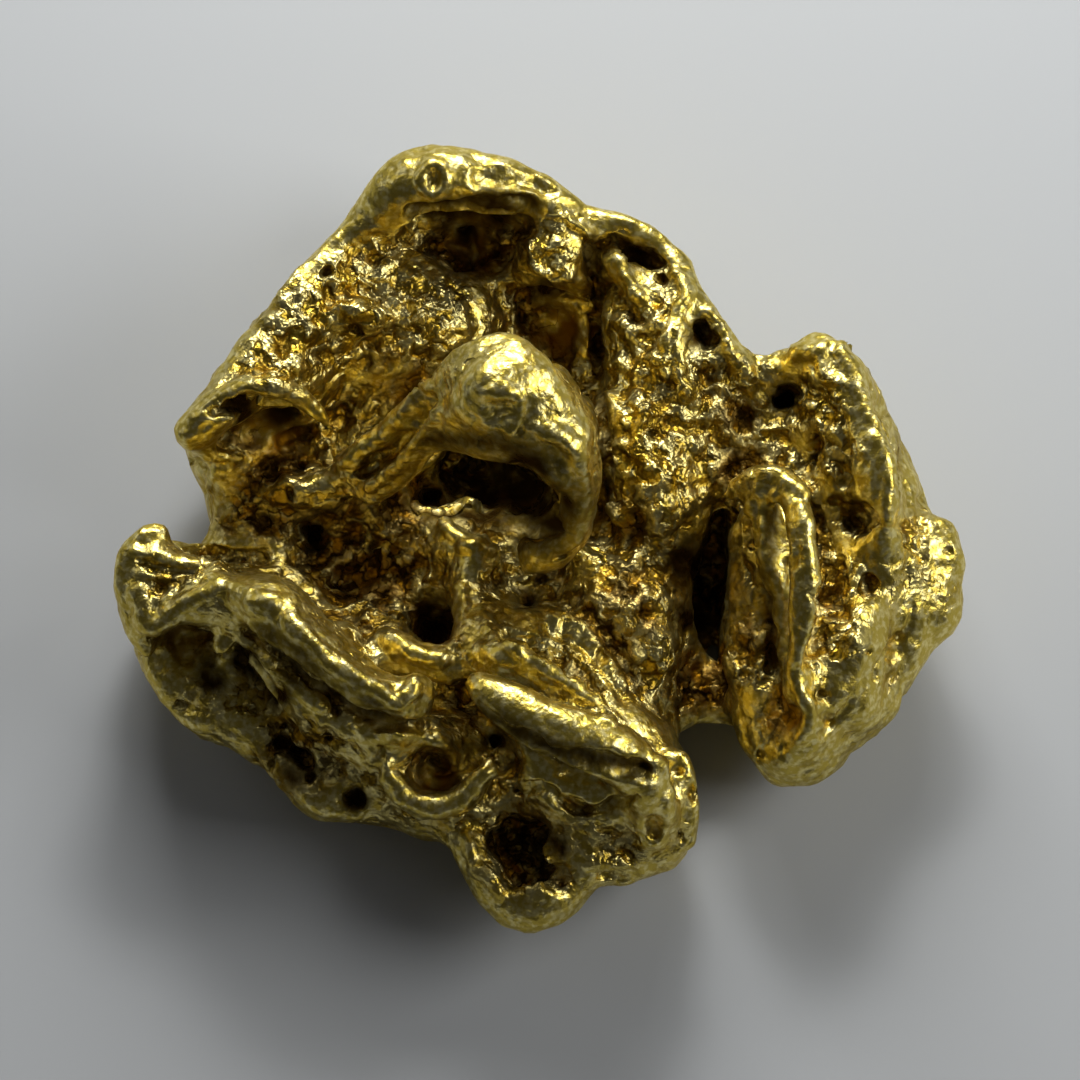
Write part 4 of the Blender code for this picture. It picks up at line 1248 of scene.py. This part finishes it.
    def spots_at(self, sight: Sight, spots: Iterable[Spot]) -> np.ndarray:
        """Reads some soft discs.

        Args:
            sight: where the points are seen.
            spots: the discs.

        Returns:
            The strongest disc at each point, from 0 to 1.
        """
        value = np.zeros(len(sight.right))
        for x, y, radius in spots:
            away = np.hypot(sight.right - x, sight.up - y) / radius
            value = np.maximum(value, np.clip(self.disc_edge * (1.0 - away), 0.0, 1.0))
        return value

    def wear(self, relief: np.ndarray, sight: Sight) -> np.ndarray:
        """Finds how smoothly the water has worn the skin.

        Args:
            relief: how far each point stands out.
            sight: where the points are seen.

        Returns:
            The wear at each point, from 0 to 1.
        """
        worn = np.clip(self.flat_wear + relief / self.wear_span, 0.0, 1.0)
        smooth = self.spots_at(sight, SMOOTH_SPOTS) * sight.visible
        grainy = self.spots_at(sight, GRAINY_SPOTS) * sight.visible
        worn = worn + smooth * (1.0 - worn)
        lost = self.grainy_share * grainy * (1.0 - self.smooth_guard * smooth)
        return np.clip(worn - lost, 0.0, 1.0)

    def stain(self, relief: np.ndarray, sight: Sight, sunk: np.ndarray) -> np.ndarray:
        """Finds how brown the skin is.

        Args:
            relief: how far each point stands out.
            sight: where the points are seen.
            sunk: how deep each lies in a pit.

        Returns:
            The stain at each point, from 0 to 1.
        """
        hollow = np.clip(-relief / self.stain_span, 0.0, 1.0)
        ridge = np.clip(relief / self.stain_span, 0.0, 1.0)
        marked = self.spots_at(sight, STAINED_SPOTS) * sight.visible
        brown = self.marked_stain * marked * (1.0 - self.ridge_guard * ridge)
        return np.clip(self.hollow_stain * hollow + brown + self.pit_stain * sunk, 0.0, 1.0)

    def painted_shade(self, relief: np.ndarray, sight: Sight) -> np.ndarray:
        """Finds how much shade is painted on the skin: in discs, where it lies low, and in bands.

        Args:
            relief: how far each point stands out.
            sight: where the points are seen.

        Returns:
            The painted shade at each point, from 0 to 1.
        """
        low = np.clip(self.shade_reach - relief / self.shade_span, 0.0, 1.0)
        dirt_and_shade = self.spots_at(sight, PAINTED_SHADE_SPOTS) * low
        for band in PAINTED_SHADE_BANDS:
            laid = self.profile(sight.right, sight.up, band.spots())
            dirt_and_shade = np.maximum(dirt_and_shade, band.height * laid)
        return dirt_and_shade * sight.visible

    def noise_at(self, points: np.ndarray, size: float, octaves: int) -> np.ndarray:
        """Makes cloudy values about 0.

        Args:
            points: places in millimetres.
            size: how wide a cloud is.
            octaves: how many layers it has.

        Returns:
            The value at each point.
        """
        places = (Vector(point) / size for point in points)
        settings = (self.noise_roughness, self.noise_step, octaves)
        return np.array([noise.fractal(place, *settings) for place in places])

    def crystals_at(self, points: np.ndarray, size: float) -> np.ndarray:
        """Makes domed grains.

        Args:
            points: places in millimetres.
            size: how wide a grain is.

        Returns:
            The height at each point, about 0.
        """
        heights = np.empty(len(points))
        for i, point in enumerate(points):
            away = noise.voronoi(Vector(point) / size)[0][0]
            heights[i] = self.grain_level - away * away
        return heights

    def drop_specks(self, piece: bpy.types.Object) -> None:
        """Deletes every speck that isn't joined to the nugget's highest point.

        Args:
            piece: the piece, with all its shape.
        """
        highest = int(mesh_points(piece.data)[:, 2].argmax())
        self.choose(piece)
        bpy.ops.object.mode_set(mode="EDIT")
        bpy.ops.mesh.select_mode(type="VERT")
        bpy.ops.mesh.select_all(action="DESELECT")
        bpy.ops.object.mode_set(mode="OBJECT")
        piece.data.vertices[highest].select = True
        bpy.ops.object.mode_set(mode="EDIT")
        bpy.ops.mesh.select_linked()
        bpy.ops.mesh.select_all(action="INVERT")
        bpy.ops.mesh.delete(type="VERT")
        bpy.ops.object.mode_set(mode="OBJECT")

    def keep_in(self, mesh: bpy.types.Mesh) -> None:
        """Presses a mesh back into the CAD solid's box.

        Args:
            mesh: the mesh.
        """
        low, high = (np.array(corner) / MILLIMETRE for corner in cad_box)
        points = np.clip(mesh_points(mesh), low + self.box_margin, high - self.box_margin)
        mesh.vertices.foreach_set("co", (points * MILLIMETRE).ravel())
        mesh.update()

    def dress(self, piece: bpy.types.Object) -> None:
        """Thins the piece where it isn't seen, finishes it and ties it to the part.

        Args:
            piece: the piece, with all its shape.
        """
        piece.data.calc_loop_triangles()
        if len(piece.data.loop_triangles) > self.most_triangles:
            share = self.most_triangles / len(piece.data.loop_triangles)
            self.modify(piece, "DECIMATE", ratio=share, vertex_group=self.hidden_group)
        self.drop_specks(piece)
        self.keep_in(piece.data)
        piece.vertex_groups.clear()
        piece.data.shade_smooth()
        piece.data.materials.append(self.finish.material())
        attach(piece, BODY)
        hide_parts(NODE)
        piece.data.calc_loop_triangles()
        log.info("%s: %d triangles", piece.name, len(piece.data.loop_triangles))


# The studio


@dataclass(frozen=True)
class Softbox:
    """A soft white lamp: its place, size and target in millimetres, and its power in watts."""

    name: str
    place: tuple[float, float, float]
    size: tuple[float, float]
    power: float
    target: tuple[float, float, float] = (0.0, 0.0, 1.5)

    def build(self) -> bpy.types.Object:
        """Makes the lamp and points it at its target.

        Returns:
            The lamp object.
        """
        lamp = bpy.data.lights.new(self.name, "AREA")
        lamp.shape = "RECTANGLE"
        lamp.size, lamp.size_y = (side * MILLIMETRE for side in self.size)
        lamp.energy = self.power
        lamp_object = bpy.data.objects.new(self.name, lamp)
        bpy.context.scene.collection.objects.link(lamp_object)
        lamp_object.location = Vector(self.place) * MILLIMETRE
        aim = Vector(self.target) * MILLIMETRE - lamp_object.location
        lamp_object.rotation_euler = aim.to_track_quat("-Z", "Y").to_euler()
        return lamp_object


@dataclass
class Studio:
    """The floor and the light."""

    half_floor: float = 90.0
    ambient: Colour = (0.045, 0.045, 0.048, 1.0)
    paper: PaperFinish = field(default_factory=PaperFinish)
    lamps: tuple[Softbox, ...] = (
        Softbox("key", (0.0, 25.0, 19.0), (22.0, 12.5), 0.0075),
        Softbox("glint", (1.0, 27.0, 24.0), (8.0, 4.5), 0.0035),
        Softbox("left", (-50.0, 30.0, 30.0), (40.0, 28.0), 0.003),
        Softbox("right", (42.0, 2.0, 30.0), (34.0, 24.0), 0.013),
    )

    def build(self) -> None:
        """Lays the floor and hangs the lamps."""
        bpy.ops.mesh.primitive_plane_add(size=2 * self.half_floor * MILLIMETRE)
        floor = bpy.context.active_object
        floor.name = "floor"
        floor.data.materials.append(self.paper.material())
        world = bpy.data.worlds.new("studio")
        world.use_nodes = True
        world.node_tree.nodes["Background"].inputs["Color"].default_value = self.ambient
        bpy.context.scene.world = world
        bpy.context.scene.view_settings.view_transform = "Standard"
        for lamp in self.lamps:
            lamp.build()


def main() -> None:
    """Builds the piece, the studio and the camera in order."""
    eye = Eye()
    nugget = Nugget(eye).build()
    log.info("nugget: %s", nugget.name)
    Studio().build()
    log.info("studio: floor and lamps")
    eye.camera()
    log.info("camera: at %s mm", tuple(round(value, 1) for value in eye.place()))


if __name__ == "__main__":
    main()
